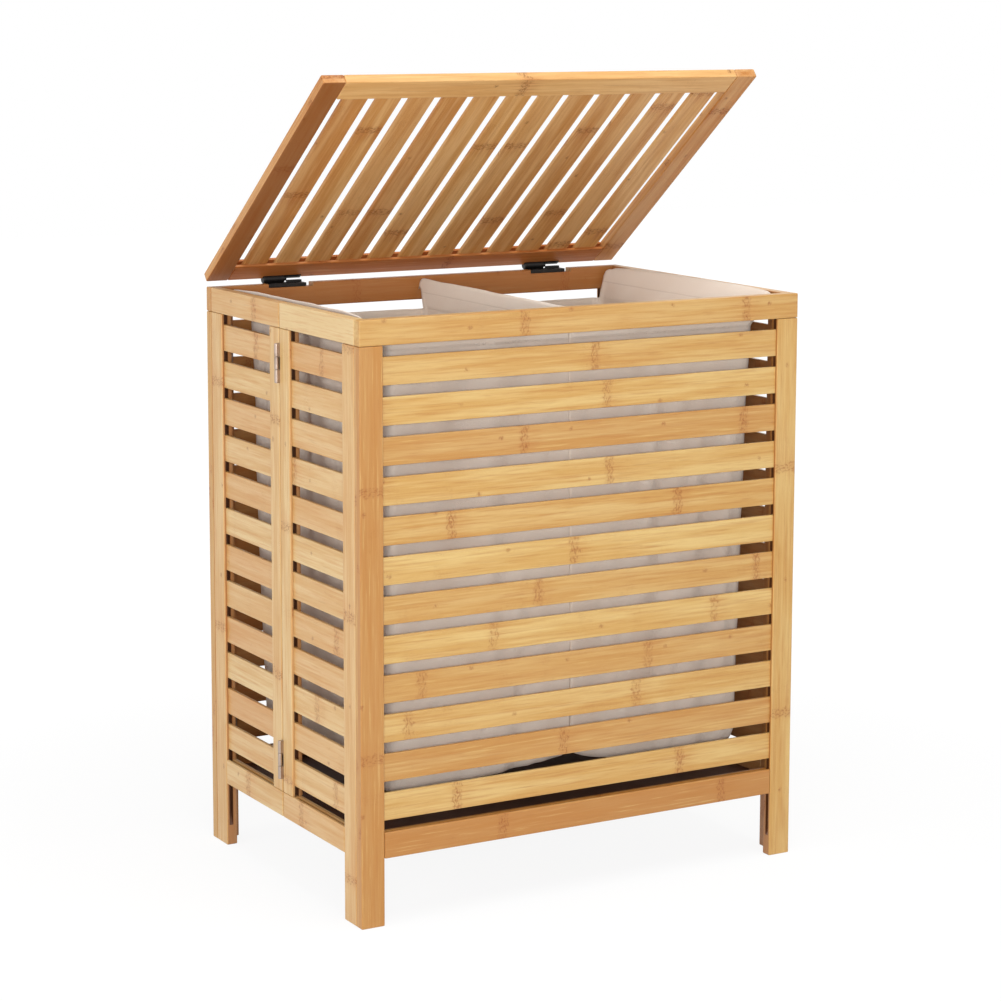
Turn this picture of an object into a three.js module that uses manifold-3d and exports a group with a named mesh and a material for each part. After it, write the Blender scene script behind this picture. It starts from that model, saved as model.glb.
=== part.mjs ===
import * as THREE from 'three';
import { mergeVertices } from 'three/addons/utils/BufferGeometryUtils.js';
import Module from 'manifold-3d';

// Laundry hamper with two bins: a folding slatted frame, a slatted lid on friction hinges, two hanging
// cloth bags and a cloth floor. Millimetres, +Z up, front towards -Y, lid held half open.
// The origin is on the floor, under the middle of the whole object.

// Driving dimensions
const WIDTH = 562;
const DEPTH = 390;
const HEIGHT = 660;
const STOCK = 13;
const POST_WIDTH = 28;
const OUTER_STILE_WIDTH = 28;
const CENTRE_STILE_WIDTH = 24;
const TOP_RAIL = 28;
const BOTTOM_RAIL = 29;
const LEG_HEIGHT = 75;
const SEAM = 2;

// Slats and the grooves that hold them
const SLATS = 12;
const SLAT_HEIGHT = 30.5;
const SLAT_THICKNESS = 4.5;
const GROOVE_WIDTH = 4.9;
const GROOVE_DEPTH = 7;
const GROOVE_OFFSET = 3;
const SLAT_BITE = 1;
const TENON_INSET = 6;
const RUN_OUT_HEIGHT = 22;
const RUN_OUT_LENGTH = 16;

// Lid
const LID_WIDTH = 557;
const LID_DEPTH = 392;
const LID_STOCK = 11;
const LID_STILE = 27;
const LID_HINGE_RAIL = 29;
const LID_FREE_RAIL = 31;
const LID_SLAT_WIDTH = 30;
const LID_GAP = 5;
const LID_AXIS_RISE = 4.3;
const LID_AXIS_SETBACK = 5;
const LID_OPEN_DEGREES = 37.5;

// Clearances, eased edges and how far a cutter runs past a face
const PLAY = 0.3;
const EASE = 1.2;
const SLAT_EASE = 0.8;
const OVERCUT = 1;

// Butt hinges
const KNUCKLE_RADIUS = 2.5;
const PIN_RADIUS = 1.1;
const LEAF_THICKNESS = 1.2;
const CORNER_LEAF_REACH = 10.5;
const SEAM_LEAF_REACH = 12;
const HINGE_OFFSET = 3;
const HINGE_LENGTH = 44;
const UPPER_HINGE_DROP = 17;
const LOWER_HINGE_RISE = 16;

// Friction hinges of the lid
const BARREL_RADIUS = 5.2;
const BARREL_LENGTH = 27;
const BARREL_EASE = 1.6;
const LID_PIN_RADIUS = 1.5;
const LID_PIN_BITE = 12;
const LID_EAR_RADIUS = 3;
const LID_EAR_LENGTH = 3;
const LID_HINGE_LENGTH = 49;
const LID_HINGE_INSET = 74;
const LID_RECESS_LENGTH = 58;
const LID_RECESS_DEPTH = 4.5;
const LID_RIB_HEIGHT = 2.4;
const LID_LEAF_THICKNESS = 2;
const LID_LEAF_HEEL = 0.5;

// Cloth
const CLOTH = 1.5;
const BAG_TOP_DROP = 2;
const BAG_RIM_HEIGHT = 38;
const BAG_FLOOR_RISE = 28;
const BAG_RIM_GAP = 4;
const BAG_DIVIDER_GAP = 0.8;
const BAG_BACK_SPACE = 4;
const BAG_CORNER = 14;
const BASE_RISE = 11;
const ROUND_STEPS = 3;

// How far each bag wall has drawn in at each height, as shares of the bag's width or depth
const BAG_HEIGHT_SHARES = [0, 0.02, 0.3, 0.62, 0.93, 1];
const BAG_OUTER_SHARES = [0.2, 0.185, 0.17, 0.155, 0.13, 0];
const BAG_FRONT_SHARES = [0.05, 0.035, 0.03, 0.03, 0.02, 0];
const BAG_BACK_SHARES = [0.05, 0.035, 0.03, 0.02, 0.01, 0];
const BAG_DIVIDER_SHARES = [0.06, 0.045, 0.02, 0.01, 0, 0];

// Derived sizes
const BOTTOM_RAIL_TOP = LEG_HEIGHT + BOTTOM_RAIL;
const TOP_RAIL_UNDERSIDE = HEIGHT - TOP_RAIL;
const HALF_WIDTH = (DEPTH - SEAM) / 2 - STOCK - PLAY;
const SLAT_GAP = (TOP_RAIL_UNDERSIDE - BOTTOM_RAIL_TOP - SLATS * SLAT_HEIGHT) / (SLATS + 1);
const INSIDE_WIDTH = WIDTH - 2 * STOCK;
const INSIDE_DEPTH = DEPTH - 2 * STOCK;
const LID_UNDERSIDE = LID_GAP - LID_AXIS_RISE;
const LID_NOTCH_DEPTH = BARREL_RADIUS + 2 * PLAY;
const BORE_RADIUS = PIN_RADIUS + PLAY;
const HINGE_HEIGHTS = {
  upper: TOP_RAIL_UNDERSIDE - UPPER_HINGE_DROP - HINGE_LENGTH,
  lower: BOTTOM_RAIL_TOP + LOWER_HINGE_RISE,
};
const LID_HINGE_STARTS = {
  left: -WIDTH / 2 + LID_HINGE_INSET,
  right: WIDTH / 2 - LID_HINGE_INSET - LID_RECESS_LENGTH,
};
const BAG_TOP = HEIGHT - BAG_TOP_DROP;
const BAG_SHOULDER = BAG_TOP - BAG_RIM_HEIGHT;
const BAG_FLOOR = BOTTOM_RAIL_TOP + BAG_FLOOR_RISE;

const BAMBOO = new THREE.MeshStandardMaterial({ color: 0xd9a763, roughness: 0.5, metalness: 0 });
const PALE_BAMBOO = new THREE.MeshStandardMaterial({ color: 0xddb77c, roughness: 0.5, metalness: 0 });
const LID_BAMBOO = new THREE.MeshStandardMaterial({ color: 0xb9814c, roughness: 0.5, metalness: 0 });
const BRIGHT_STEEL = new THREE.MeshStandardMaterial({ color: 0xc9c9c6, roughness: 0.3, metalness: 1 });
const BLACK_STEEL = new THREE.MeshStandardMaterial({ color: 0x1d1b1a, roughness: 0.4, metalness: 0.6 });
const BAG_CLOTH = new THREE.MeshStandardMaterial({ color: 0xd6c8bd, roughness: 0.95, metalness: 0 });
const DARK_CLOTH = new THREE.MeshStandardMaterial({ color: 0x30201a, roughness: 0.85, metalness: 0 });

const wasm = await Module();
wasm.setup();

// Solids

function toSolid(geometry) {
  const bare = geometry.clone();
  bare.deleteAttribute('normal');
  bare.deleteAttribute('uv');
  const merged = mergeVertices(bare);
  return new wasm.Manifold(new wasm.Mesh({
    numProp: 3,
    vertProperties: new Float32Array(merged.attributes.position.array),
    triVerts: new Uint32Array(merged.index.array),
  }));
}

function toGeometry(solid) {
  const mesh = solid.getMesh();
  const geometry = new THREE.BufferGeometry();
  geometry.setAttribute('position', new THREE.BufferAttribute(new Float32Array(mesh.vertProperties), 3));
  geometry.setIndex(new THREE.BufferAttribute(new Uint32Array(mesh.triVerts), 1));
  geometry.computeVertexNormals();
  return geometry;
}

function join(first, ...others) {
  return toGeometry(others.reduce((solid, other) => solid.add(toSolid(other)), toSolid(first)));
}

function cut(body, ...cutters) {
  return toGeometry(cutters.reduce((solid, cutter) => solid.subtract(toSolid(cutter)), toSolid(body)));
}

// A rectangular block from its low corner.
function block([x, y, z], [length, depth, height]) {
  const geometry = new THREE.BoxGeometry(length, depth, height);
  geometry.translate(x + length / 2, y + depth / 2, z + height / 2);
  return geometry;
}

function easedRectangle(width, height, ease) {
  return new THREE.Shape([
    new THREE.Vector2(ease, 0),
    new THREE.Vector2(width - ease, 0),
    new THREE.Vector2(width, ease),
    new THREE.Vector2(width, height - ease),
    new THREE.Vector2(width - ease, height),
    new THREE.Vector2(ease, height),
    new THREE.Vector2(0, height - ease),
    new THREE.Vector2(0, ease),
  ]);
}

// A bar with every edge eased, from its low corner: length along X, thickness along Y, width along Z.
function bar(length, thickness, width, ease) {
  const geometry = new THREE.ExtrudeGeometry(easedRectangle(thickness, width, ease), {
    depth: length - 2 * ease,
    bevelSegments: 1,
    bevelThickness: ease,
    bevelSize: ease,
    bevelOffset: -ease,
  });
  geometry.translate(0, 0, ease);
  const alongX = new THREE.Matrix4().makeBasis(
    new THREE.Vector3(0, 1, 0), new THREE.Vector3(0, 0, 1), new THREE.Vector3(1, 0, 0));
  return geometry.applyMatrix4(alongX);
}

// The same bar standing up: width along X, thickness along Y, length along Z.
function uprightBar(length, thickness, width, ease) {
  return bar(length, thickness, width, ease).rotateY(-Math.PI / 2).translate(width, 0, 0);
}

function cylinder(radius, length, sides) {
  const geometry = new THREE.CylinderGeometry(radius, radius, length, sides);
  return geometry.rotateX(Math.PI / 2).translate(0, 0, length / 2);
}

function add(group, name, geometry, material) {
  const mesh = new THREE.Mesh(geometry, material);
  mesh.name = name;
  group.add(mesh);
  return mesh;
}

// Slatted panels. Each is drawn standing in XZ: outer face at y = 0, inner face at y = STOCK.

// The cutter for a stile's groove, open towards +X or -X; with a run-out it rises to the edge above the foot.
function uprightGroove(edge, opens, low, high, runsOut) {
  const deep = edge - opens * GROOVE_DEPTH;
  const past = edge + opens * OVERCUT;
  const outline = new THREE.Shape([
    new THREE.Vector2(past, low),
    new THREE.Vector2(deep, runsOut ? low + RUN_OUT_LENGTH : low),
    new THREE.Vector2(deep, high),
    new THREE.Vector2(past, high),
  ]);
  const geometry = new THREE.ExtrudeGeometry(outline, { depth: GROOVE_WIDTH, bevelEnabled: false });
  return geometry.rotateX(Math.PI / 2).translate(0, GROOVE_OFFSET + GROOVE_WIDTH, 0);
}

// The recess that a seam hinge's leaf lies in, sunk in the stile's meeting edge.
function leafRecess(edge, opens, low) {
  const depth = LEAF_THICKNESS + PLAY;
  const start = opens > 0 ? edge - depth : edge - OVERCUT;
  return block(
    [start, -OVERCUT, low - PLAY],
    [depth + OVERCUT, OVERCUT + SEAM_LEAF_REACH - HINGE_OFFSET + PLAY, HINGE_LENGTH + 2 * PLAY]);
}

function tenonAt(x, low, length, height) {
  const y = GROOVE_OFFSET + (GROOVE_WIDTH - SLAT_THICKNESS) / 2;
  return block([x, y, low], [length, SLAT_THICKNESS, height]);
}

function mortiseAt(x, low, length, height) {
  return block(
    [x - PLAY, GROOVE_OFFSET, low - OVERCUT],
    [length + 2 * PLAY, GROOVE_WIDTH, height + 2 * OVERCUT]);
}

// A stile from x = start. A leg stile runs to the floor; a seam stile stands on the bottom rail.
function stile(start, spec, opens) {
  const foot = spec.leg ? 0 : BOTTOM_RAIL_TOP + PLAY;
  const top = TOP_RAIL_UNDERSIDE - PLAY;
  const edge = opens > 0 ? start + spec.width : start;
  const meeting = opens > 0 ? start : start + spec.width;
  const tenonLength = spec.width - 2 * TENON_INSET;
  const blank = uprightBar(top - foot, STOCK, spec.width, EASE).translate(start, 0, foot);
  const tenons = [tenonAt(start + TENON_INSET, top - OVERCUT, tenonLength, GROOVE_DEPTH)];
  if (!spec.leg) {
    tenons.push(tenonAt(start + TENON_INSET, foot + OVERCUT - GROOVE_DEPTH, tenonLength, GROOVE_DEPTH));
  }
  const grooveFoot = spec.leg ? RUN_OUT_HEIGHT : foot - OVERCUT;
  const cutters = [uprightGroove(edge, opens, grooveFoot, top - EASE, spec.leg)];
  if (!spec.leg) {
    for (const low of Object.values(HINGE_HEIGHTS)) cutters.push(leafRecess(meeting, -opens, low));
  }
  return join(cut(blank, ...cutters), ...tenons);
}

// The twelve slats, let into the groove of the stile that carries them and free in the other one.
function slatRow(from, to) {
  const y = GROOVE_OFFSET + (GROOVE_WIDTH - SLAT_THICKNESS) / 2;
  return Array.from({ length: SLATS }, (_, i) => {
    const low = BOTTOM_RAIL_TOP + SLAT_GAP + i * (SLAT_HEIGHT + SLAT_GAP);
    return bar(to - from, SLAT_THICKNESS, SLAT_HEIGHT, SLAT_EASE).translate(from, y, low);
  });
}

// The recess in the back top rail that the base of a lid hinge lies in, from its low end.
function hingeRecess(start) {
  return block(
    [start, -OVERCUT, HEIGHT - LID_RECESS_DEPTH],
    [LID_RECESS_LENGTH, STOCK + 2 * OVERCUT, LID_RECESS_DEPTH + OVERCUT]);
}

function topRail(width, near, far, recesses) {
  const blank = bar(width, STOCK, TOP_RAIL, EASE).translate(0, 0, TOP_RAIL_UNDERSIDE);
  const groove = block(
    [near.width, GROOVE_OFFSET, TOP_RAIL_UNDERSIDE - OVERCUT],
    [width - near.width - far.width, GROOVE_WIDTH, GROOVE_DEPTH + OVERCUT]);
  const starts = [[TENON_INSET, near], [width - far.width + TENON_INSET, far]];
  const mortises = starts.map(([x, spec]) =>
    mortiseAt(x, TOP_RAIL_UNDERSIDE, spec.width - 2 * TENON_INSET, GROOVE_DEPTH - OVERCUT));
  return cut(blank, groove, ...mortises, ...recesses);
}

// The bottom rail runs between the legs, under a seam stile, and has a tenon in each leg's groove.
function bottomRail(width, near, far) {
  const from = near.leg ? near.width + PLAY : 0;
  const to = far.leg ? width - far.width - PLAY : width;
  const blank = bar(to - from, STOCK, BOTTOM_RAIL, EASE).translate(from, 0, LEG_HEIGHT);
  const cutters = [block(
    [near.width, GROOVE_OFFSET, BOTTOM_RAIL_TOP - GROOVE_DEPTH],
    [width - near.width - far.width, GROOVE_WIDTH, GROOVE_DEPTH + OVERCUT])];
  const tenons = [];
  const tenonLow = LEG_HEIGHT + TENON_INSET;
  const tenonHeight = BOTTOM_RAIL - TENON_INSET - GROOVE_DEPTH;
  if (near.leg) tenons.push(tenonAt(near.width - GROOVE_DEPTH + PLAY, tenonLow, GROOVE_DEPTH + OVERCUT, tenonHeight));
  if (far.leg) tenons.push(tenonAt(to - OVERCUT, tenonLow, GROOVE_DEPTH + OVERCUT, tenonHeight));
  const seat = [[TENON_INSET, near], [width - far.width + TENON_INSET, far]].find(([, spec]) => !spec.leg);
  if (seat) {
    const [x, spec] = seat;
    const low = BOTTOM_RAIL_TOP - GROOVE_DEPTH + OVERCUT;
    cutters.push(mortiseAt(x, low, spec.width - 2 * TENON_INSET, GROOVE_DEPTH));
  }
  return join(cut(blank, ...cutters), ...tenons);
}

function panel(names, width, near, far, material, recesses = []) {
  const group = new THREE.Group();
  const nearStile = stile(0, near, 1);
  const farStile = stile(width - far.width, far, -1);
  const bite = GROOVE_DEPTH + SLAT_BITE;
  const rest = GROOVE_DEPTH - PLAY;
  const nearCarries = near.leg;
  const slats = nearCarries
    ? slatRow(near.width - bite, width - far.width + rest)
    : slatRow(near.width - rest, width - far.width + bite);
  add(group, names.near, nearCarries ? join(nearStile, ...slats) : nearStile, material);
  add(group, names.far, nearCarries ? farStile : join(farStile, ...slats), material);
  add(group, names.top, topRail(width, near, far, recesses), material);
  add(group, names.bottom, bottomRail(width, near, far), material);
  return group;
}

const POST = { width: POST_WIDTH, leg: true };
const OUTER_STILE = { width: OUTER_STILE_WIDTH, leg: true };
const SEAM_STILE = { width: CENTRE_STILE_WIDTH, leg: false };

function endPanel(label, nearSide, farSide, recesses) {
  return panel({
    near: `${label}_${nearSide}_post_with_slats`,
    far: `${label}_${farSide}_post`,
    top: `${label}_top_rail`,
    bottom: `${label}_bottom_rail`,
  }, WIDTH, POST, POST, BAMBOO, recesses);
}

function halfPanel(label, outerIsNear) {
  const outer = `${label}_stile_with_slats`;
  const seam = `${label}_seam_stile`;
  return panel({
    near: outerIsNear ? outer : seam,
    far: outerIsNear ? seam : outer,
    top: `${label}_top_rail`,
    bottom: `${label}_bottom_rail`,
  }, HALF_WIDTH, outerIsNear ? OUTER_STILE : SEAM_STILE, outerIsNear ? SEAM_STILE : OUTER_STILE, PALE_BAMBOO);
}

function addPanels(hamper) {
  const front = endPanel('front', 'left', 'right');
  front.position.set(-WIDTH / 2, -DEPTH / 2, 0);
  const back = endPanel('back', 'right', 'left', Object.values(LID_HINGE_STARTS).map((start) =>
    hingeRecess(WIDTH / 2 - start - LID_RECESS_LENGTH)));
  back.position.set(WIDTH / 2, DEPTH / 2, 0);
  back.rotation.z = Math.PI;
  hamper.add(front, back);

  const endOfHalf = DEPTH / 2 - STOCK - PLAY;
  const halves = [
    { label: 'left_rear', side: -1, start: endOfHalf, outerIsNear: true },
    { label: 'left_front', side: -1, start: -SEAM / 2, outerIsNear: false },
    { label: 'right_front', side: 1, start: -endOfHalf, outerIsNear: true },
    { label: 'right_rear', side: 1, start: SEAM / 2, outerIsNear: false },
  ];
  for (const { label, side, start, outerIsNear } of halves) {
    const half = halfPanel(label, outerIsNear);
    half.position.set(side * WIDTH / 2, start, 0);
    half.rotation.z = side * Math.PI / 2;
    hamper.add(half);
  }
}

// Butt hinges. A leaf is drawn with its pin on Z at the origin, its plate reaching out along +X on the
// wood's side of the pin, and the knuckles at its ends (with the pin) or in its middle (with the bore).

function leafPlate(wood, inner, from, reach, low, height) {
  const y = wood > 0 ? inner : -inner - LEAF_THICKNESS;
  return block([from, y, low], [reach - from, LEAF_THICKNESS, height]);
}

function buttLeaf(wood, inner, reach, hasPin) {
  const third = HINGE_LENGTH / 3;
  const plate = leafPlate(wood, inner, KNUCKLE_RADIUS + PLAY + PLAY, reach, 0, HINGE_LENGTH);
  const parts = [];
  const lows = hasPin ? [0, HINGE_LENGTH - third] : [third + PLAY];
  const height = hasPin ? third : third - 2 * PLAY;
  for (const low of lows) {
    parts.push(leafPlate(wood, inner, 0, reach, low, height));
    parts.push(cylinder(KNUCKLE_RADIUS, height, 16).translate(0, 0, low));
  }
  if (hasPin) return join(plate, ...parts, cylinder(PIN_RADIUS, HINGE_LENGTH, 12));
  return cut(join(plate, ...parts), cylinder(BORE_RADIUS, HINGE_LENGTH, 12));
}

function addLeaf(hamper, name, pin, direction, wood, inner, reach, hasPin) {
  const handed = Math.sign(direction.x * wood.y - direction.y * wood.x);
  const leaf = add(hamper, name, buttLeaf(handed, inner, reach, hasPin), BRIGHT_STEEL);
  leaf.position.copy(pin);
  leaf.rotation.z = Math.atan2(direction.y, direction.x);
}

function addCornerHinges(hamper) {
  const inner = HINGE_OFFSET - PLAY - LEAF_THICKNESS;
  for (const [end, sy] of [['front', -1], ['back', 1]]) {
    for (const [side, sx] of [['left', -1], ['right', 1]]) {
      for (const [level, low] of Object.entries(HINGE_HEIGHTS)) {
        const pin = new THREE.Vector3(
          sx * (INSIDE_WIDTH / 2 - HINGE_OFFSET), sy * (INSIDE_DEPTH / 2 - HINGE_OFFSET), low);
        const inwardX = new THREE.Vector2(-sx, 0);
        const inwardY = new THREE.Vector2(0, -sy);
        const label = `${end}_${side}_${level}_hinge`;
        addLeaf(hamper, `${label}_post_leaf`, pin, inwardX, new THREE.Vector2(0, sy), inner, CORNER_LEAF_REACH, true);
        addLeaf(hamper, `${label}_stile_leaf`, pin, inwardY, new THREE.Vector2(sx, 0), inner, CORNER_LEAF_REACH, false);
      }
    }
  }
}

function addSeamHinges(hamper) {
  for (const [side, sx] of [['left', -1], ['right', 1]]) {
    for (const [level, low] of Object.entries(HINGE_HEIGHTS)) {
      const pin = new THREE.Vector3(sx * (WIDTH / 2 + HINGE_OFFSET), 0, low);
      const inward = new THREE.Vector2(-sx, 0);
      const label = `${side}_seam_${level}_hinge`;
      addLeaf(hamper, `${label}_front_leaf`, pin, inward, new THREE.Vector2(0, -1), SEAM / 2, SEAM_LEAF_REACH, true);
      addLeaf(hamper, `${label}_rear_leaf`, pin, inward, new THREE.Vector2(0, 1), SEAM / 2, SEAM_LEAF_REACH, false);
    }
  }
}

// Lid and its friction hinges. Both are drawn with the hinge axis on X at the origin, the closed lid
// reaching towards -Y.

function lidNotch(start) {
  return block(
    [start - PLAY, -LID_NOTCH_DEPTH, LID_UNDERSIDE - OVERCUT],
    [LID_HINGE_LENGTH + 2 * PLAY, LID_NOTCH_DEPTH + OVERCUT, LID_STOCK + 2 * OVERCUT]);
}

// A lid member's slat groove is open towards +Y or -Y.
function lidRail(low, width, opens) {
  const from = -LID_WIDTH / 2 + LID_STILE + PLAY;
  const length = LID_WIDTH - 2 * LID_STILE - 2 * PLAY;
  const grooveStart = opens > 0 ? low + width - GROOVE_DEPTH : low - OVERCUT;
  const blank = bar(length, width, LID_STOCK, EASE).translate(from, low, LID_UNDERSIDE);
  const groove = block(
    [from - OVERCUT, grooveStart, LID_UNDERSIDE + GROOVE_OFFSET],
    [length + 2 * OVERCUT, GROOVE_DEPTH + OVERCUT, GROOVE_WIDTH]);
  return cut(blank, groove);
}

function lidSlats(from, to) {
  const opening = LID_WIDTH - 2 * LID_STILE;
  const gap = (opening - SLATS * LID_SLAT_WIDTH) / (SLATS + 1);
  const z = LID_UNDERSIDE + GROOVE_OFFSET + (GROOVE_WIDTH - SLAT_THICKNESS) / 2;
  return Array.from({ length: SLATS }, (_, i) => {
    const x = -opening / 2 + gap + i * (LID_SLAT_WIDTH + gap);
    const slat = bar(to - from, LID_SLAT_WIDTH, SLAT_THICKNESS, SLAT_EASE).rotateZ(Math.PI / 2);
    return slat.translate(x + LID_SLAT_WIDTH, from, z);
  });
}

function lidStile(start) {
  const blank = bar(LID_DEPTH, LID_STILE, LID_STOCK, EASE).rotateZ(Math.PI / 2);
  return blank.translate(start + LID_STILE, -LID_DEPTH, LID_UNDERSIDE);
}

// The lid's leaf: an angle that stands in the notch of the hinge rail, with an ear on the hinge axis and
// the pin that turns in the barrel.
function lidLeaf() {
  const length = LID_HINGE_LENGTH - BARREL_LENGTH - PLAY;
  const front = -LID_NOTCH_DEPTH + PLAY;
  const upright = block([0, front, 0], [length, LID_LEAF_THICKNESS, LID_UNDERSIDE + LID_STOCK - EASE]);
  const shelf = block([0, front, 0], [length, LID_LEAF_HEEL - front, LID_LEAF_THICKNESS]);
  const ear = cylinder(LID_EAR_RADIUS, LID_EAR_LENGTH, 16).rotateY(Math.PI / 2);
  const pin = cylinder(LID_PIN_RADIUS, LID_PIN_BITE + LID_EAR_LENGTH, 12).rotateY(Math.PI / 2);
  return join(upright, shelf, ear, pin.translate(-LID_PIN_BITE, 0, 0));
}

// The hinge's base: a plate let into the back rail, with a barrel behind the rail and, beside the barrel,
// a rib along the plate's back edge.
function lidHingeBase() {
  const profile = [
    new THREE.Vector2(0, 0),
    new THREE.Vector2(BARREL_RADIUS - BARREL_EASE, 0),
    new THREE.Vector2(BARREL_RADIUS, BARREL_EASE),
    new THREE.Vector2(BARREL_RADIUS, BARREL_LENGTH),
    new THREE.Vector2(0, BARREL_LENGTH),
  ];
  const barrel = new THREE.LatheGeometry(profile, 20).rotateZ(-Math.PI / 2);
  const depth = STOCK + LID_AXIS_SETBACK;
  const plate = block(
    [PLAY, -depth, -LID_AXIS_RISE - LID_RECESS_DEPTH + PLAY],
    [LID_HINGE_LENGTH - PLAY, depth, LID_RECESS_DEPTH - PLAY]);
  const ribStart = BARREL_LENGTH + LID_EAR_LENGTH + 2 * PLAY;
  const rib = block(
    [ribStart, -LID_AXIS_SETBACK, -LID_AXIS_RISE - OVERCUT],
    [LID_HINGE_LENGTH - ribStart, LID_AXIS_SETBACK, LID_RIB_HEIGHT + OVERCUT]);
  const bore = cylinder(LID_PIN_RADIUS + PLAY, LID_PIN_BITE + PLAY + OVERCUT, 12).rotateY(Math.PI / 2);
  return cut(join(barrel, plate, rib), bore.translate(BARREL_LENGTH - LID_PIN_BITE - PLAY, 0, 0));
}

function addLid(hamper) {
  const axis = new THREE.Vector3(0, DEPTH / 2 + LID_AXIS_SETBACK, HEIGHT + LID_AXIS_RISE);
  const lid = new THREE.Group();
  lid.position.copy(axis);
  lid.rotation.x = -THREE.MathUtils.degToRad(LID_OPEN_DEGREES);
  const hingeRail = lidRail(-LID_HINGE_RAIL, LID_HINGE_RAIL, -1);
  const freeRail = lidRail(-LID_DEPTH, LID_FREE_RAIL, 1);
  const bite = GROOVE_DEPTH + SLAT_BITE;
  const slats = lidSlats(-LID_DEPTH + LID_FREE_RAIL - bite, -LID_HINGE_RAIL + GROOVE_DEPTH - PLAY);
  const starts = Object.entries(LID_HINGE_STARTS);
  add(lid, 'lid_hinge_rail', cut(hingeRail, ...starts.map(([, start]) => lidNotch(start))), LID_BAMBOO);
  add(lid, 'lid_free_rail_with_slats', join(freeRail, ...slats), LID_BAMBOO);
  add(lid, 'lid_left_stile', lidStile(-LID_WIDTH / 2), LID_BAMBOO);
  add(lid, 'lid_right_stile', lidStile(LID_WIDTH / 2 - LID_STILE), LID_BAMBOO);
  for (const [side, start] of starts) {
    const leaf = add(lid, `lid_${side}_hinge_leaf`, lidLeaf(), BLACK_STEEL);
    leaf.position.x = start + BARREL_LENGTH + PLAY;
    const base = add(hamper, `lid_${side}_hinge_base`, lidHingeBase(), BLACK_STEEL);
    base.position.copy(axis);
    base.position.x = start;
  }
  hamper.add(lid);
}

// Cloth. A bag is drawn with its divider wall at x = 0 and its outer wall towards +X; the tub narrows
// downwards, and all its walls but the back one go on up to the rails.

const BAG_WIDTH = INSIDE_WIDTH / 2 - BAG_RIM_GAP - BAG_DIVIDER_GAP / 2;
const BAG_DEPTH = INSIDE_DEPTH - 2 * PLAY - BAG_BACK_SPACE;

function roundedOutline(width, depth, radius) {
  const outline = new THREE.Shape();
  outline.moveTo(radius, 0);
  outline.lineTo(width - radius, 0);
  outline.absarc(width - radius, radius, radius, -Math.PI / 2, 0);
  outline.lineTo(width, depth - radius);
  outline.absarc(width - radius, depth - radius, radius, 0, Math.PI / 2);
  outline.lineTo(radius, depth);
  outline.absarc(radius, depth - radius, radius, Math.PI / 2, Math.PI);
  outline.lineTo(0, radius);
  outline.absarc(radius, radius, radius, Math.PI, 1.5 * Math.PI);
  return outline;
}

// One skin of the tub: an upright rounded box whose rings are moved to the drawn-in places.
function tubSkin(inset, low, high) {
  const width = BAG_WIDTH - 2 * inset;
  const depth = BAG_DEPTH - 2 * inset;
  const geometry = new THREE.ExtrudeGeometry(roundedOutline(width, depth, BAG_CORNER - inset), {
    depth: BAG_HEIGHT_SHARES.length - 1,
    steps: BAG_HEIGHT_SHARES.length - 1,
    bevelEnabled: false,
    curveSegments: ROUND_STEPS,
  });
  const places = geometry.attributes.position;
  for (let i = 0; i < places.count; i += 1) {
    const ring = Math.round(places.getZ(i));
    const alongX = places.getX(i) / width;
    const alongY = places.getY(i) / depth;
    const left = inset + BAG_WIDTH * BAG_DIVIDER_SHARES[ring];
    const right = BAG_WIDTH * (1 - BAG_OUTER_SHARES[ring]) - inset;
    const near = inset + BAG_DEPTH * BAG_FRONT_SHARES[ring];
    const far = BAG_DEPTH * (1 - BAG_BACK_SHARES[ring]) - inset;
    places.setXYZ(
      i, left + (right - left) * alongX, near + (far - near) * alongY,
      low + (high - low) * BAG_HEIGHT_SHARES[ring]);
  }
  return geometry;
}

function bag() {
  const backWall = block(
    [BAG_CORNER, BAG_DEPTH - BAG_CORNER, BAG_SHOULDER],
    [BAG_WIDTH - 2 * BAG_CORNER, BAG_CORNER + OVERCUT, BAG_RIM_HEIGHT + OVERCUT]);
  return cut(tubSkin(0, BAG_FLOOR, BAG_TOP), tubSkin(CLOTH, BAG_FLOOR + CLOTH, BAG_TOP + OVERCUT), backWall);
}

function addCloth(hamper) {
  const front = -INSIDE_DEPTH / 2 + PLAY;
  const right = add(hamper, 'bag_right', bag(), BAG_CLOTH);
  right.position.set(BAG_DIVIDER_GAP / 2, front, 0);
  const mirrored = bag().scale(-1, 1, 1);
  const index = mirrored.index.array;
  for (let i = 0; i < index.length; i += 3) [index[i], index[i + 1]] = [index[i + 1], index[i]];
  const left = add(hamper, 'bag_left', mirrored, BAG_CLOTH);
  left.position.set(-BAG_DIVIDER_GAP / 2, front, 0);

  const width = INSIDE_WIDTH - 2 * PLAY;
  const depth = INSIDE_DEPTH - 2 * PLAY;
  add(hamper, 'base_cloth', block([-width / 2, -depth / 2, LEG_HEIGHT + BASE_RISE], [width, depth, CLOTH]), DARK_CLOTH);
}

const hamper = new THREE.Group();
addPanels(hamper);
addCornerHinges(hamper);
addSeamHinges(hamper);
addLid(hamper);
addCloth(hamper);

// The open lid reaches a little behind the back frame, so the middle of the whole is behind the box's.
const extent = new THREE.Box3().setFromObject(hamper, true);
hamper.position.y = -(extent.min.y + extent.max.y) / 2;

export default hamper;
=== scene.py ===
import math
import random

import bpy
from mathutils import Matrix, Vector, noise


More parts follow.
